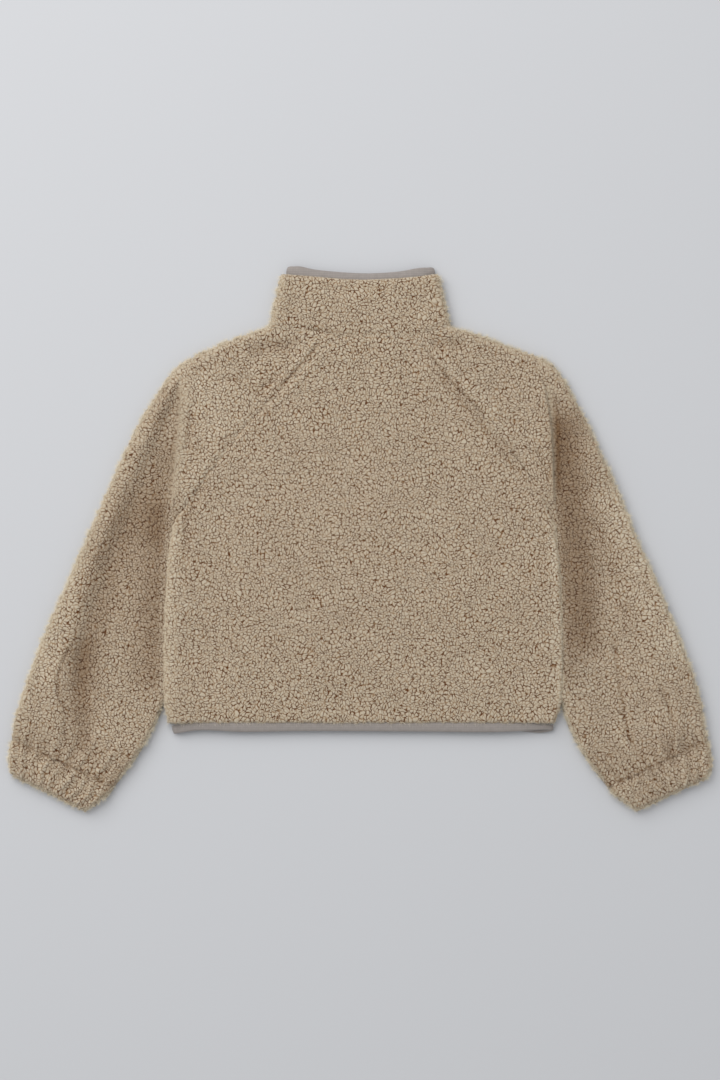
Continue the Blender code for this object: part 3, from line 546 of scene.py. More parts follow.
rightSleeve = dict(
    sleeveCut, name="fleece_right_sleeve", stands="right_sleeve", flip=True,
    rows=[
        (71, 279, 122, 292, 96, 250, 30, 15.4, 16.5, 16.5, 16.5, 16.6, 20, 14, 0),
        (92, 250, 166, 278, 113, 226, 50, 15.2, 16.5, 16.5, 16.4, 16.6, 28, 16, 0),
        (124, 210, 214, 260, 136, 196, 74, 15.2, 17, 16.8, 16.4, 16.6, 28, 15, 0),
        (160, 174, 261, 240, 168, 160, 96, 15.4, 18, 16.4, 16.2, 16.4, 18, 12, 0),
        (190, 134, 295, 189, 196, 126, 76, 15.4, 19.4, 12.6, 12.6, 17.4, 20, 11, 0),
        (218, 100, 317, 145, 222, 94, 48, 15.4, 19.8, 12.6, 12.2, 18.6, 34, 15, 0),
        (243, 63, 336, 103, 245, 60, 22, 15.4, 19.6, 12.8, 12.2, 19.4, 42, 17, 0),
        (264.5, 22, 358, 52, 264, 22, 5, 12, 15, 15, 12, 19.8, 56, 19, 0.7),
        (269.5, -12, 380, -3, 269, -12, 5, 12, 15.2, 15.2, 12, 20, 64, 20, 1),
        (273.5, -62, 405, -58, 273, -62, 5, 12, 15.2, 15.2, 12, 20, 82, 22, 1),
        (275.5, -115, 426, -109, 275, -115, 5, 12, 15.2, 15.2, 12.2, 20, 102, 26, 1),
        (276.5, -170, 444, -155, 276, -170, 5, 12, 15.2, 15.2, 12.6, 19.8, 118, 32, 1),
        (275, -222, 459, -198, 274, -222, 5, 13, 15.6, 15.6, 13.2, 19.6, 134, 42, 1),
        (285, -257, 466, -229, 285, -257, 5, 13, 16.2, 16.2, 14, 19.2, 128, 50, 1),
        (306, -296, 470, -251, 306, -296, 5, 13, 16.6, 16.6, 14, 18.4, 120, 50, 1),
        (337, -337, 473.5, -272, 337, -337, 5, 13, 15.8, 15.8, 15.4, 16.3, 100, 45, 1),
    ],
    cut=(0.32, 0.67), cutArea=0.198,
    outerBand=8, innerBand=4,  # width of the soft band along each fold, where the pile has fewer gaps and painted light
    capRoute=[(257, 206), (262, 160), (263, 110), (263, 60)], capBand=5, capSoft=1.2,
    gatherShade=0.24,
    gathers=[
        (0.06, 1.4, 4, 40), (0.15, 2.2, 4.8, 60), (0.25, 1.7, 4, 46), (0.37, 2.7, 4.8, 84),
        (0.49, 1.6, 4, 40), (0.58, 2.2, 4.8, 60), (0.70, 3, 5.6, 90), (0.82, 1.8, 4, 48),
        (0.92, 2, 4.8, 56),
    ],
    creases=[
        crease(-1.6, 2.6, [(344, -126), (350, -170), (354, -200), (358, -228), (362, -254), (376, -290)],
            0.8, 0.14, 0.12),
        crease(1.6, 9, [(362, -150), (368, -200), (374, -240), (392, -285)]),
        crease(-1.6, 2.8, [(404, -193), (415, -216), (423, -248), (424, -276), (420, -296)], 0.8, 0.15, 0.12),
        crease(1.7, 8, [(416, -180), (428, -214), (436, -250), (436, -282)]),
        crease(1.2, 7, [(398, -190), (404, -222), (408, -262)]),
        crease(-1.3, 3.2, [(86, 262), (104, 238), (126, 212), (150, 188), (172, 158)],
            0.9, 0.22, 0.15, other=2.6),
        crease(-1.0, 2.6, [(184, 146), (202, 124), (222, 96), (240, 70)], 0.8, 0.16),
        crease(0.9, 6, [(100, 262), (126, 232), (154, 202), (184, 168), (212, 128)], 0, -0.06, 0.15),
        crease(-2.4, 9, [(92, 266), (116, 266), (148, 262)], 0.3, 0.15),
        crease(-1.1, 5, [(240, 130), (250, 104), (258, 70)], 0.7),
        crease(-0.2, 22, [(280, 200), (288, 110), (297, 20), (306, -80), (311, -180)],
            0, 0.41, 0.14, other=26),
        crease(0, 16, [(266, 200), (269, 110), (272, 20), (279, -60), (282, -150), (280, -215)],
            0, 0.20, 0.1, other=4),
        crease(0, 4.0, [(263, 206), (268, 160), (269, 110), (269, 60)], 0, 0.20, 0.08),
        crease(0, 26, [(330, 90), (372, 0), (412, -90), (445, -200)], 0, -0.16),
        crease(0, 4, [(340, -334), (470, -273)], 0.8, 0, 0.04),
        crease(0.5, 10, [(306, 60), (330, 0), (352, -70), (372, -130)], 0.7),
    ],
)

# Cuffs: where the casing lies against the body's side, its outer edge, and its height
cuffCut = dict(
    across=96, under=34, count=34, long=52, thick=4.6, coarse=0.90,
    edgeRound=8.5, innerRound=9.0, innerLow=6.9, underHigh=5.6, underRound=6.0,
    endHigh=6.6, endTurn=0.62,  # the casing turns in at its end, to this height and by this share
    outerBand=7, innerBand=6, endBand=4,
    cut=(0.31, 0.058), cutArea=0.0165,
)
leftCuff = dict(
    cuffCut, name="fleece_left_cuff", stands="left_cuff", flip=False,
    rows=[
        (-333.4, -334.4, -473.9, -269.4, 15.6),
        (-337, -341, -476.6, -278, 16.2),
        (-345, -350, -479.3, -293, 16.8),
        (-360, -361.5, -479.5, -308, 16),
        (-374.5, -370.5, -475, -322, 12.8),
    ],
)
rightCuff = dict(
    cuffCut, name="fleece_right_cuff", stands="right_cuff", flip=True,
    rows=[
        (336.3, -335.4, 472.8, -270.4, 15.6),
        (340, -342, 475.8, -280, 16.2),
        (349, -351, 478.6, -295, 16.8),
        (363, -361.5, 478.8, -310, 16),
        (377, -370.5, 473.5, -325, 12.8),
    ],
)

# Fronts: their edge at the zip from neck to hem, and the corner of the side and the hem
front = dict(
    zipEdge=5, long=190, across=100, thick=4.6, edgeRound=6.0, edgeHigh=5.8, band=8,
    leftRows=(215, 190, 162, 132, 104, 72, 44, 18, -14, -64, -116, -171, -222, -252),
    rightRows=(215, 190, 162, 132, 104, 74, 48, 18, -14, -64, -116, -171, -222, -252),
    leftCorner=(-258, -250.6), rightCorner=(263, -250.6),
    cut=(0.275, 0.505), cutArea=0.108,
)

# Collar: the line round the neck and the one round the top, from zip to zip
collar = dict(
    neck=dict(
        left=[(-5, 215), (-92, 250)], leftFold=(-124.5, 292),
        back=[(-75, 285.6), (-28, 279), (21.5, 279), (71, 279)],
        right=[(5, 215), (96, 250)], rightFold=(124, 292),
    ),
    top=dict(
        left=[(-5, 299), (-80, 335)], leftFold=(-108.5, 362),
        back=[(-64, 358.4), (-26, 355.4), (10, 354.4), (52, 356.4)],
        right=[(5, 299), (84, 335)], rightFold=(107.5, 362),
    ),
    rows=52, backColumns=150, frontColumns=36, thick=5.0, tall=77,
    high=17.6, edgeRound=9.0, neckDrop=1.6, neckRound=9.0, topDrop=4.5, topRound=8.0,
    cut=(0.50, 0.088), cutArea=0.040, band=9,
    creases=[
        crease(-1.4, 5, [(-83, 281), (-55, 283), (-30, 281)], 0.9, 0.10),
        crease(1.0, 10, [(-112, 300), (-104, 318), (-98, 345)]),
        crease(1.0, 10, [(112, 300), (106, 320), (100, 345)]),
        crease(0.8, 14, [(-60, 330), (0, 322), (70, 331)]),
    ],
)


def foldRound(edge, inward, radius, high):  # the half round where the cloth turns under
    turn = np.radians(90 - 180 * even(15)[None, 1:-1])
    plan = edge[:, None] + inward[:, None] * radius * (1 - np.cos(turn))
    return np.concatenate([plan, high[:, None, None] / 2 * (1 + np.sin(turn))], axis=2)


def wrapped(piece, plan, z, edge, way, inner, roll=1.0):
    # the upper layer, the fold at the outer edge, and the layer under it up to the inner line
    start = edge - way * piece["edgeRound"]
    share = even(piece["under"])[None]
    lower = mix(start[:, None], inner[:, None], share)
    rest = norm(inner - start, axis=1)[:, None] * (1 - share[..., 0])
    lowZ = piece["underHigh"] * roll * (1 - bulge(rest, piece["underRound"]))
    fold = foldRound(edge, -way, piece["edgeRound"], z[:, -1])
    return np.concatenate([np.dstack([plan, z]), fold, np.dstack([lower, lowZ])], axis=1)


def padded(paintedShade, points):
    return np.pad(paintedShade, ((0, 0), (0, points.shape[1] - paintedShade.shape[1])), mode="edge")


def seamTone(plan, far):  # a dotted shadow where the cuff is sewn on
    return 0.29 * bell(far, 2.8) * (0.8 + 1.2 * wavy(plan, 9, 9.4))


def sleevePoints(piece):
    table = stations(piece["rows"], piece["long"])
    s = {name: table[:, i] for i, name in enumerate(sleeveColumns.split())}
    seam, edge, under = table[:, 0:2], table[:, 2:4], table[:, 4:6]
    roll = np.clip(s["roll"], 0, 1)[:, None]
    wide = norm(edge - seam, axis=1)
    way = (edge - seam) / wide[:, None]
    radius = piece["edgeRound"]
    tucked = piece["tuck"] * roll * smooth((seam[:, 1:] + 240) / 50)  # in under the body
    lap = -piece["lap"] * (1 - roll) - tucked
    out = lap + even(piece["across"]).T * ((wide - radius)[:, None] - lap)
    plan = seam[:, None] + way[:, None] * out[..., None]
    capStart, capEnd = s["fold"] - piece["capSoft"], s["fold"] + piece["capEdge"]
    where = np.array([0 * wide, np.minimum(16, s["fold"] * 0.5), capStart, capEnd,
                      wide - s["dipIn"], wide - s["ridgeIn"], wide - radius])
    where = np.maximum.accumulate(where + np.arange(7)[:, None] * 0.05, axis=0)
    heights = np.array([s["seam"] + 1.5 * (1 - roll[:, 0]), s["cap"], s["cap"], s["inner"],
                        s["dip"], s["ridge"], s["ridge"] - 1.6])
    z = knotted(out, where[..., None], heights[..., None])
    rolled = knotted(out, where[[0, 4, 5, 6]][..., None], heights[[3, 4, 5, 6]][..., None])
    z = mix(z, rolled, roll) + creased(plan, piece["creases"]) + 1.2 * wavy(plan, 46, 3.7)
    far = even(piece["long"])[::-1] * lengthOf(seam, edge)
    # painted shade: darker toward the cuff and in a dotted line along its seam, with painted light on the
    # gathers' ridges
    paintedShade = np.zeros(z.shape)
    for share, high, half, reach in piece["gathers"]:
        bend = share + 0.03 * np.sin(far / piece["ease"] + 9 * share)
        ridge = bell((out / wide[:, None] - bend) * wide[:, None], half) * smooth(1 - far / reach)
        z += 1.25 * high * ridge * (0.55 + 0.45 * smooth(far / 16))
        paintedShade -= piece["gatherShade"] * ridge
    paintedShade += piece["gatherShade"] * smooth(1 - far / 60) + seamTone(plan, far)
    z += bell(far, 7) * (1.6 * wavy(plan, 7, 9.4) - 0.7)  # pulled down at the cuff seam
    z -= (z - piece["innerLow"]) * roll * (1 - bulge(out - lap, piece["innerRound"]))
    z += (1 - roll) * (1 - smooth((out - lap) / 9)) * (1.8 * wavy(plan, 7, 8.1) - 1.3)
    z -= 1 - smooth(even(piece["long"]) * piece["long"] * 1.6 / 8)  # a little lower at the neck
    points = wrapped(piece, plan, z, edge, way, under, roll)
    return points, padded(paintedShade, points), seam, edge


def cuffPoints(piece, gathers, gatherShade):
    table = stations(piece["rows"], piece["count"])
    seam, edge, high = table[:, 0:2], table[:, 2:4], table[:, 4:5]
    radius, long = piece["edgeRound"], piece["long"]
    wide = norm(edge - seam, axis=1)
    way = (edge - seam) / wide[:, None]
    out = even(piece["across"]).T * (wide - radius)[:, None]
    plan = seam[:, None] + way[:, None] * out[..., None]
    z = high + 0 * out
    far = even(piece["count"])
    # painted shade: the casing a little darker all over and more near its seam, with painted light on the
    # gathers' ridges
    paintedShade = 0.12 + 0.6 * gatherShade * smooth(1 - far * long / 18) + seamTone(plan, far * long)
    for share, tall, half, _ in gathers:  # the sleeve's gathers run on over the casing
        lean = share + 0.02 * np.sin(5 * far + 9 * share)
        ridge = bell((out / wide[:, None] - lean) * wide[:, None], half)
        z += 1.15 * tall * ridge * (0.6 + 0.4 * np.sin(math.pi * far))
        paintedShade = paintedShade - gatherShade * ridge * (1 - 0.4 * far)
    z += 0.8 * wavy(plan, 14, 5.5)
    z += bell(far * long, 7) * (1.6 * wavy(plan, 7, 9.4) - 0.8)
    z -= (z - piece["innerLow"]) * (1 - bulge(out, piece["innerRound"]))
    points = wrapped(piece, plan, z, edge, way, seam)
    last = points[-6:, :, 2]
    last += (piece["endHigh"] - last) * even(6) ** 2 * piece["endTurn"]
    return points, padded(paintedShade, points)


def spread(left, right, tight, count, turns):  # points across each row, closer at its ends
    wide = norm(right - left, axis=1)[:, None]
    ends = tight * (1 - np.cos(np.linspace(0, math.pi / 2, turns)[:-1]))[None]
    middle = tight + even(count).T * (wide - 2 * tight)
    out = np.hstack([ends + 0 * wide, middle, (wide - ends)[:, ::-1]])
    return left[:, None] + (right - left)[:, None] / wide[..., None] * out[..., None], out, wide


def panelPoints(piece):
    table = stations(piece["rows"], piece["long"])
    left, right, roll = table[:, 0:2], table[:, 2:4], np.clip(table[:, 4:5], 0, 1)
    lap = (right - left) / norm(right - left, axis=1)[:, None] * piece["lap"] * (1 - roll)
    left, right = left - lap, right + lap
    plan, out, wide = spread(left, right, piece["tight"], piece["across"], 8)
    z = piece["high"] + creased(plan, piece["creases"])
    z += 0.8 * wavy(plan, 60, 1.3) + 0.4 * wavy(plan, 26, 4.3)
    dip = 1.8 * wavy(plan, 7, 6.2) - piece["seamDrop"]
    for d in (out, wide - out):
        z += piece["shoulder"] * bell(d - piece["shoulderIn"], piece["shoulderWide"]) * (0.25 + 0.75 * roll)
        z -= roll * (z - piece["sideLow"]) * (1 - bulge(d, piece["sideRound"]))
        z += (1 - roll) * (1 - smooth(d / piece["seamRound"])) * dip
    along = even(piece["long"]) * lengthOf(left, right)
    z += (1 - smooth(along / 9)) * (2.0 * wavy(plan, 7, 5.2) - 1.4)
    z -= piece["hemDrop"] * (1 - bulge(along.max() - along, piece["hemRound"]))
    return np.dstack([plan, z])


def frontRows(side, sign, sleeve):  # the sleeve's rows give the raglan seam and the side
    outer = [(row[4], row[5], row[-1]) for row in sleeve["rows"]]
    outer[len(front[side + "Rows"]) - 1:] = [(*front[side + "Corner"], 1)]
    return [(sign * front["zipEdge"], y, *spot) for y, spot in zip(front[side + "Rows"], outer)]


def frontPoints(rows):
    table = stations(rows, front["long"])
    roll = np.clip(table[:, 4:5], 0, 1)
    plan, out, wide = spread(table[:, 0:2], table[:, 2:4], front["edgeRound"], front["across"], 6)
    zipSide, outside = [front["edgeHigh"] * (1 - bulge(d, front["edgeRound"])) for d in (out, wide - out)]
    return np.dstack([plan, zipSide + (0.25 + 0.75 * roll) * outside])


def collarPoints():
    rows, radius, neck, top = collar["rows"], collar["edgeRound"], collar["neck"], collar["top"]
    share = np.linspace(-0.03, 1, rows)[:, None, None]  # from just past the neck seam to the top

    def between(spot):  # the same points on each row
        return mix(np.array(neck[spot], float), np.array(top[spot], float), share)

    lines = [line([edge["leftFold"], *edge["back"], edge["rightFold"]], collar["backColumns"] * 3)
             for edge in (neck, top)]
    plan = mix(*lines, share)
    folds = between("leftFold")[:, 0], between("rightFold")[:, 0]
    keep = np.all([norm(plan - fold[:, None], axis=2).min(0) > radius for fold in folds], axis=0)
    chosen = np.linspace(0, keep.sum() - 1, collar["backColumns"]).astype(int)
    plan = plan[:, keep][:, chosen]
    z = collar["high"] + creased(plan, collar["creases"]) + 0.8 * wavy(plan, 34, 2.2)
    up = even(rows) * collar["tall"]
    z += (1 - smooth(up / collar["neckRound"])) * (2.0 * wavy(plan, 7, 3.2) - collar["neckDrop"])
    z -= collar["topDrop"] * (1 - bulge(collar["tall"] - up, collar["topRound"]))
    halves = []
    for side, fold, column in (("left", folds[0], 0), ("right", folds[1], -1)):
        ends = plan[:, column]
        gap = norm(ends - fold, axis=1)[:, None]
        arc = foldRound(fold, (ends - fold) / gap, gap[..., None], z[:, column])
        corners = between(side)  # from the zip to where the fold begins
        runs = [line([a, (a + b) / 2, b, c], collar["frontColumns"]) for (a, b), c in zip(corners, ends)]
        flat = np.pad(np.array(runs), ((0, 0), (0, 0), (0, 1)))
        halves.append(np.concatenate([flat, arc[:, ::-1]], axis=1))
    left, right = halves
    return np.concatenate([left, np.dstack([plan, z]), right[:, ::-1]], axis=1)


pieces = {}
for piece in (leftSleeve, rightSleeve):
    points, paintedShade, seam, edge = sleevePoints(piece)
    pieces[piece["stands"]] = cloth(
        piece["name"], points, piece, piece["flip"], paintedShade=paintedShade,
        folds=[(edge[::8], piece["outerBand"]), (seam[seam[:, 1] < -225][::8], piece["innerBand"])],
        soft=[(piece["capRoute"], piece["capBand"])],
    )
for cuff, sleeve in ((leftCuff, leftSleeve), (rightCuff, rightSleeve)):
    points, paintedShade = cuffPoints(cuff, sleeve["gathers"], sleeve["gatherShade"])
    rows = np.array(cuff["rows"])
    pieces[cuff["stands"]] = cloth(
        cuff["name"], points, cuff, cuff["flip"], paintedShade=paintedShade,
        folds=[(rows[:, 2:4], cuff["outerBand"]), (rows[:, 0:2], cuff["innerBand"]),
               ([rows[-1, 0:2], rows[-1, 2:4]], cuff["endBand"])],
    )
rows = np.array([row for row in back["rows"] if row[4] > 0.5])
backFolds = [(rows[:, 0:2], back["leftBand"]), (rows[:, 2:4], back["rightBand"]),
             ([rows[-1, 0:2], rows[-1, 2:4]], back["hemBand"])]
pieces["back"] = cloth("fleece_back", panelPoints(back), back, True, 4, backFolds, airy=0.3)
for side, sign, sleeve in (("left", -1, leftSleeve), ("right", 1, rightSleeve)):
    rows = frontRows(side, sign, sleeve)
    outer = np.array([row[2:4] for row in rows if row[4] > 0.5])
    name = side + "_front"
    pieces[name] = cloth("fleece_" + name, frontPoints(rows), front, sign < 0, folds=[(outer, front["band"])])
collarFolds = [([collar["neck"][k], collar["top"][k]], collar["band"]) for k in ("leftFold", "rightFold")]
pieces["collar"] = cloth("fleece_collar", collarPoints(), collar, folds=collarFolds)
for stands, piece in pieces.items():
    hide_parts(stands)
print("fleece done:", sum(len(p.data.polygons) for p in pieces.values()), "faces")


def jersey(name, colour, roughness=0.8, rib=900.0):
    made, tree, shader = newMaterial(name)
    fill, add, calc, vector, cloudy = tools(tree)
    place = add("ShaderNodeTexCoord").outputs["Object"]
    ribs, cross = [
        add("ShaderNodeTexWave", dict(bands_direction=way), Scale=rib / apart, Distortion=uneven,
            Detail=1.0, Vector=place).outputs["Fac"]
        for way, apart, uneven in (("X", 6.28, 0.6), ("Y", 8.5, 0.8))
    ]
    knit = calc("*", ribs, cross)
    mottled = calc("*+", cloudy(place, 160.0, 3.0), 0.30, 0.85)
    tone = calc("*", mottled, calc("*+", knit, 0.16, 0.92))
    bump = add("ShaderNodeBump", Strength=0.5, Distance=0.25 * mm, Height=knit).outputs[0]
    fill(shader, Base_Color=vector("SCALE", colour, scale=tone), Normal=bump, Roughness=roughness,
         Specular_IOR_Level=0.25, Sheen_Weight=0.3)
    return made


def metal(name, colour, roughness):
    made, tree, shader = newMaterial(name)
    fill, add, calc, vector, cloudy = tools(tree)
    place = add("ShaderNodeTexCoord").outputs["Object"]
    worn = calc("*+", cloudy(place, 420.0, 4.0), 0.35, 0.8)
    brushed = cloudy(vector("*", place, (4000.0, 250.0, 4000.0)), 1.0, 2.0)
    bump = add("ShaderNodeBump", Strength=0.25, Distance=0.05 * mm, Height=brushed).outputs[0]
    fill(shader, Base_Color=vector("SCALE", colour, scale=worn), Normal=bump, Metallic=1.0,
         Roughness=calc("*+", brushed, 0.25, roughness - 0.1))
    return made


taupeBinding = jersey("taupe_binding", (0.272, 0.241, 0.221))
threadFinish = jersey("binding_thread", (0.135, 0.115, 0.104), 0.7, 2200.0)
tapeFinish = jersey("zip_tape_weave", (0.270, 0.235, 0.215), 0.75, 3200.0)
coilFinish = jersey("zip_coil_nylon", (0.250, 0.215, 0.190), 0.42, 2600.0)
nickel = metal("zip_nickel", (0.52, 0.50, 0.47), 0.34)

# Bindings: a folded jersey strip round the collar's top and one round the hem. Each
# row is x, y, z of the edge on the fleece, then x, y of the free edge
bindings = dict(
    section=[  # share of the width, half the thickness
        (0, 1.5), (0.08, 1.95), (0.17, 1.35), (0.27, 2.05), (0.5, 2.3), (0.78, 2.1), (0.94, 1.6), (1, 0.5),
    ],
    steps=420, slope=0.80,
    stitchAt=0.17, stitchPitch=2.7, stitchLong=1.9, stitchThick=0.5, stitchHigh=1.42,
    collar=[
        (-5, 299.5, 2.9, -9, 309), (-42, 317.5, 2.9, -46, 327), (-80, 336.5, 3, -86, 346),
        (-95, 354, 3.8, -97, 364), (-99.3, 360.5, 7.2, -97, 371.5), (-92, 359, 10.8, -88, 372.4),
        (-64, 354.6, 11.6, -63, 368.2), (-26, 351.4, 11.7, -26, 364.4), (12, 350.2, 11.7, 12, 362.8),
        (52, 352.4, 11.6, 52, 365.2), (92, 358.6, 10.9, 90, 370.6), (100.6, 360.8, 7.2, 99, 370.4),
        (97, 354, 3.8, 98, 364), (84, 336.5, 3, 90, 346), (45, 317.5, 2.9, 49, 327),
        (5, 299.5, 2.9, 9, 309),
    ],
    hem=[
        (-5.3, -252.6, 2.4, -5.3, -258.9), (-110, -252.8, 2.4, -110, -259),
        (-220, -253.2, 2.5, -220, -259.6), (-246, -254.4, 3.6, -245, -262.4),
        (-255.3, -253.4, 6.4, -251.6, -264), (-246, -249.4, 9.8, -243.6, -262.4),
        (-228, -245.6, 11.4, -228, -259.8), (-160, -245, 11.6, -160, -261.2),
        (-90, -245, 11.6, -90, -260.2), (80, -245, 11.6, 80, -260.7), (205, -245.2, 11.6, 205, -260.8),
        (232, -246.4, 11.2, 232, -259.4), (252, -248.6, 10.2, 251, -258.2),
        (262.2, -252.4, 6.6, 261.6, -259.6), (250, -254.4, 3.4, 249, -262.6),
        (228, -253.6, 2.6, 228, -261.8), (200, -253.4, 2.5, 200, -259.4), (100, -252.8, 2.4, 100, -259),
        (5.3, -252.6, 2.4, 5.3, -258.9),
    ],
    collarCut=(0.485, 0.0105), collarArea=0.0049,
    hemCut=(1.045, 0.0120), hemArea=0.0105,
)


def bindingPoints(rows):
    rows = np.array(rows, float)
    path = stations(np.hstack([rows[:, 0:2], rows[:, 3:5], rows[:, 2:3]]), bindings["steps"])
    near = np.hstack([path[:, 0:2], path[:, 4:5]])
    free = np.hstack([path[:, 2:4], path[:, 4:5] * bindings["slope"] + 1.1])
    out = free - near
    high = np.cross(out, np.gradient((near + free) / 2, axis=0))
    high /= norm(high, axis=1)[:, None]
    ring = bindings["section"] + [(a, -t) for a, t in reversed(bindings["section"])]
    points = np.stack([near + out * a + high * t for a, t in ring + ring[:1]], axis=1)
    return points, near, out, high


def stamped(name, shape, places, finish):
    one = meshData(name, shape)
    many = bmesh.new()
    for place in places:
        copy = one.copy()
        copy.transform(place)
        many.from_mesh(copy)
        bpy.data.meshes.remove(copy)
    bpy.data.meshes.remove(one)
    return finished(name, many, finish)


def bound(edge):
    points, near, out, high = bindingPoints(bindings[edge])
    uneven = 0.18 * wavy(points[..., :2] + 7, 9, 2.6)
    points[..., 2] = np.maximum(points[..., 2] + uneven, 0.02)
    mesh = bmesh.new()
    grid(mesh, points * mm)
    ops.remove_doubles(mesh, verts=mesh.verts, dist=1e-6)
    ops.holes_fill(mesh, edges=[e for e in mesh.edges if e.is_boundary], sides=40)
    ops.recalc_face_normals(mesh, faces=mesh.faces)
    strip = finished(edge + "_binding_strip", mesh, taupeBinding)
    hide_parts(edge + "_binding")
    stitch = bmesh.new()
    ops.create_uvsphere(stitch, u_segments=6, v_segments=4, radius=1)
    long, thick = bindings["stitchLong"] / 2 * mm, bindings["stitchThick"] / 2 * mm
    ops.scale(stitch, vec=(long, thick, thick), verts=stitch.verts)
    centre = near + out * bindings["stitchAt"]
    walked = np.r_[0, np.cumsum(norm(np.diff(centre, axis=0), axis=1))]
    places = []
    for at in np.arange(1.5, walked[-1] - 1.5, bindings["stitchPitch"]):
        spot, later = [Vector([np.interp(p, walked, column) for column in centre.T]) for p in (at, at + 0.5)]
        rise = Vector([np.interp(at, walked, column) for column in high.T])
        for side in (1, -1):  # on the upper and the lower face
            turn = (later - spot).to_track_quat("X", "Z").to_matrix().to_4x4()
            turn.translation = (spot + rise * side * bindings["stitchHigh"]) * mm
            places.append(turn)
    seam = stamped(strip.name + "_stitches", stitch, places, threadFinish)


bound("collar")
bound("hem")
print("bindings done")

# Zip: nylon coils closed down the middle, seen in the slot between the fronts
coil = dict(
    pitch=1.45 * mm, long=3.3 * mm, thick=0.48 * mm, taper=0.8, oval=1.7, slant=0.12,
    off=1.2 * mm, end=1 * mm,  # from the middle, and from the chain's ends
)
lowest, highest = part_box("zip_chain")
tooth = bmesh.new()
thick, narrow = coil["thick"], coil["thick"] * coil["taper"]
ops.create_cone(tooth, cap_ends=True, segments=8, radius1=thick, radius2=narrow, depth=coil["long"])
lying = Vector((0, 0, 1)).rotation_difference(Vector((1, coil["slant"], 0))).to_matrix()
ops.rotate(tooth, verts=tooth.verts, matrix=lying)
ops.scale(tooth, vec=(1, 1, coil["oval"]), verts=tooth.verts)
places = []
for i, y in enumerate(np.arange(lowest.y + coil["end"], highest.y - coil["end"], coil["pitch"] / 2)):
    turn = Matrix.Rotation(np.pi * (i % 2), 4, "Z")
    turn.translation = ((1 - 2 * (i % 2)) * coil["off"], y, (lowest.z + highest.z) / 2)
    places.append(turn)
coils = stamped("zip_coils", tooth, places, coilFinish)
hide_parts("zip_chain")
for name, finish in (
    ("zip_tape_left", tapeFinish), ("zip_tape_right", tapeFinish), ("zip_box", nickel),
    ("zip_slider", nickel), ("zip_pull_tab", nickel),
):
    node = nodes[name]
    node.data.materials.clear()
    node.data.materials.append(finish)
print("zip done")

# Loose fibres that stand off the folded edges
fuzz = dict(
    count=1.5e6,  # for each square metre of a rim
    long=6.4 * mm, thick=0.12 * mm, rooted=0.42,
    bend=0.8, tuft=5.0 * mm, shortest=0.35, least=0.1, most=1.3,
    # painted light: paler than the pile, for light coming through the fibres
    colour=(0.74, 0.665, 0.52),
)


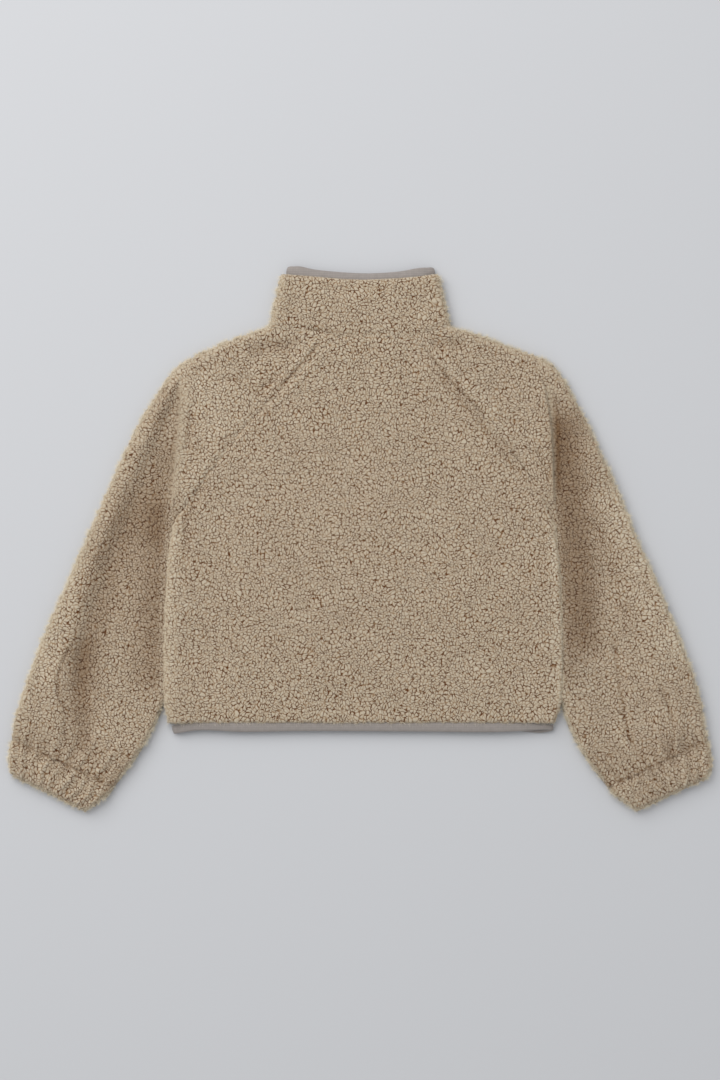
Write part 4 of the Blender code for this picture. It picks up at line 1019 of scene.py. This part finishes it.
def fuzzGroup(blade):
    tree = newGroup("edge_fibres")
    fill, add, calc, vector, cloudy = tools(tree)
    given, density = add("NodeGroupInput").outputs[0], calc("*", named(add, "halo"), fuzz["count"])
    spots = add("GeometryNodeDistributePointsOnFaces", Mesh=given, Density=density, Seed=4)
    lean = fill(add("FunctionNodeRandomValue", dict(data_type="FLOAT_VECTOR"), Seed=9),
                Min=(-fuzz["bend"],) * 3, Max=(fuzz["bend"],) * 3)
    way = vector("NORMALIZE", vector("+", spots.outputs["Normal"], lean.outputs[0]))
    turned = add("FunctionNodeAlignRotationToVector", dict(axis="Z"), Vector=way)
    size = add("FunctionNodeRandomValue", dict(data_type="FLOAT"), Seed=5)
    size.inputs[2].default_value, size.inputs[3].default_value = fuzz["shortest"], 1.0
    tufts = cloudy(add("GeometryNodeInputPosition").outputs[0], 1 / fuzz["tuft"])
    tall = calc("*", size.outputs[1], calc("*+", tufts, 4.0, -1.1))
    tall = calc("MINIMUM", calc("MAXIMUM", tall, fuzz["least"]), fuzz["most"])
    one = add("GeometryNodeObjectInfo", Object=blade).outputs["Geometry"]
    standing = add("GeometryNodeInstanceOnPoints", Points=spots.outputs["Points"], Instance=one,
                   Rotation=turned.outputs[0], Scale=tall)
    real = add("GeometryNodeRealizeInstances", Geometry=standing.outputs[0])
    tree.links.new(real.outputs[0], add("NodeGroupOutput").inputs[0])
    return tree


bladeMesh = bmesh.new()
ops.create_cone(bladeMesh, cap_ends=False, segments=3, radius1=fuzz["thick"], radius2=0, depth=fuzz["long"])
ops.translate(bladeMesh, vec=(0, 0, fuzz["long"] * fuzz["rooted"]), verts=bladeMesh.verts)
blade = placed("fibre", meshData("fibre", bladeMesh))
litFibreFinish = plain("loose_fibre", fuzz["colour"])
blade.data.materials.append(litFibreFinish)
group = fuzzGroup(blade)
total = 0
for stands, piece in pieces.items():
    if stands.endswith("front"):
        continue
    fibres = applied(placed(piece.name + "_fibres", piece.data.copy()), "fibres", group)
    fibres.data.materials.clear()
    fibres.data.materials.append(litFibreFinish)
    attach(fibres, "garment")
    total += len(fibres.data.polygons)
bpy.data.objects.remove(blade)
print("fibres done:", total, "faces")

# Floor, light and camera
studio = dict(
    floor=(0.520, 0.523, 0.537), floorSize=6,
    keyPower=188, keySize=4.4, keyPlace=(-1.7, 2.3, 3.3),
    sky=0.60, skyColour=(0.96, 0.98, 1.0),
    lens=73.5, sensor=36, eyeHigh=3.01,
)
floorMesh = bmesh.new()
ops.create_grid(floorMesh, x_segments=1, y_segments=1, size=studio["floorSize"])
floor = placed("floor", meshData("floor", floorMesh))
floor.data.materials.append(plain("floor_paper", studio["floor"]))

scene = bpy.context.scene
world = bpy.data.worlds.new("studio")
scene.world = world
world.use_nodes = True
world.node_tree.nodes["Background"].inputs[0].default_value = (*studio["skyColour"], 1)
world.node_tree.nodes["Background"].inputs[1].default_value = studio["sky"]
key = bpy.data.lights.new("key_light", "AREA")
key.size = studio["keySize"]
key.energy = studio["keyPower"]
lamp = placed("key_light", key)
lamp.location = studio["keyPlace"]
lamp.rotation_euler = (-Vector(studio["keyPlace"])).to_track_quat("-Z", "Y").to_euler()
eye = bpy.data.cameras.new("camera")
eye.sensor_width = studio["sensor"]
eye.lens = studio["lens"]
camera = placed("camera", eye)
camera.location = (0, 0, studio["eyeHigh"])
scene.camera = camera
scene.view_settings.view_transform = "Standard"
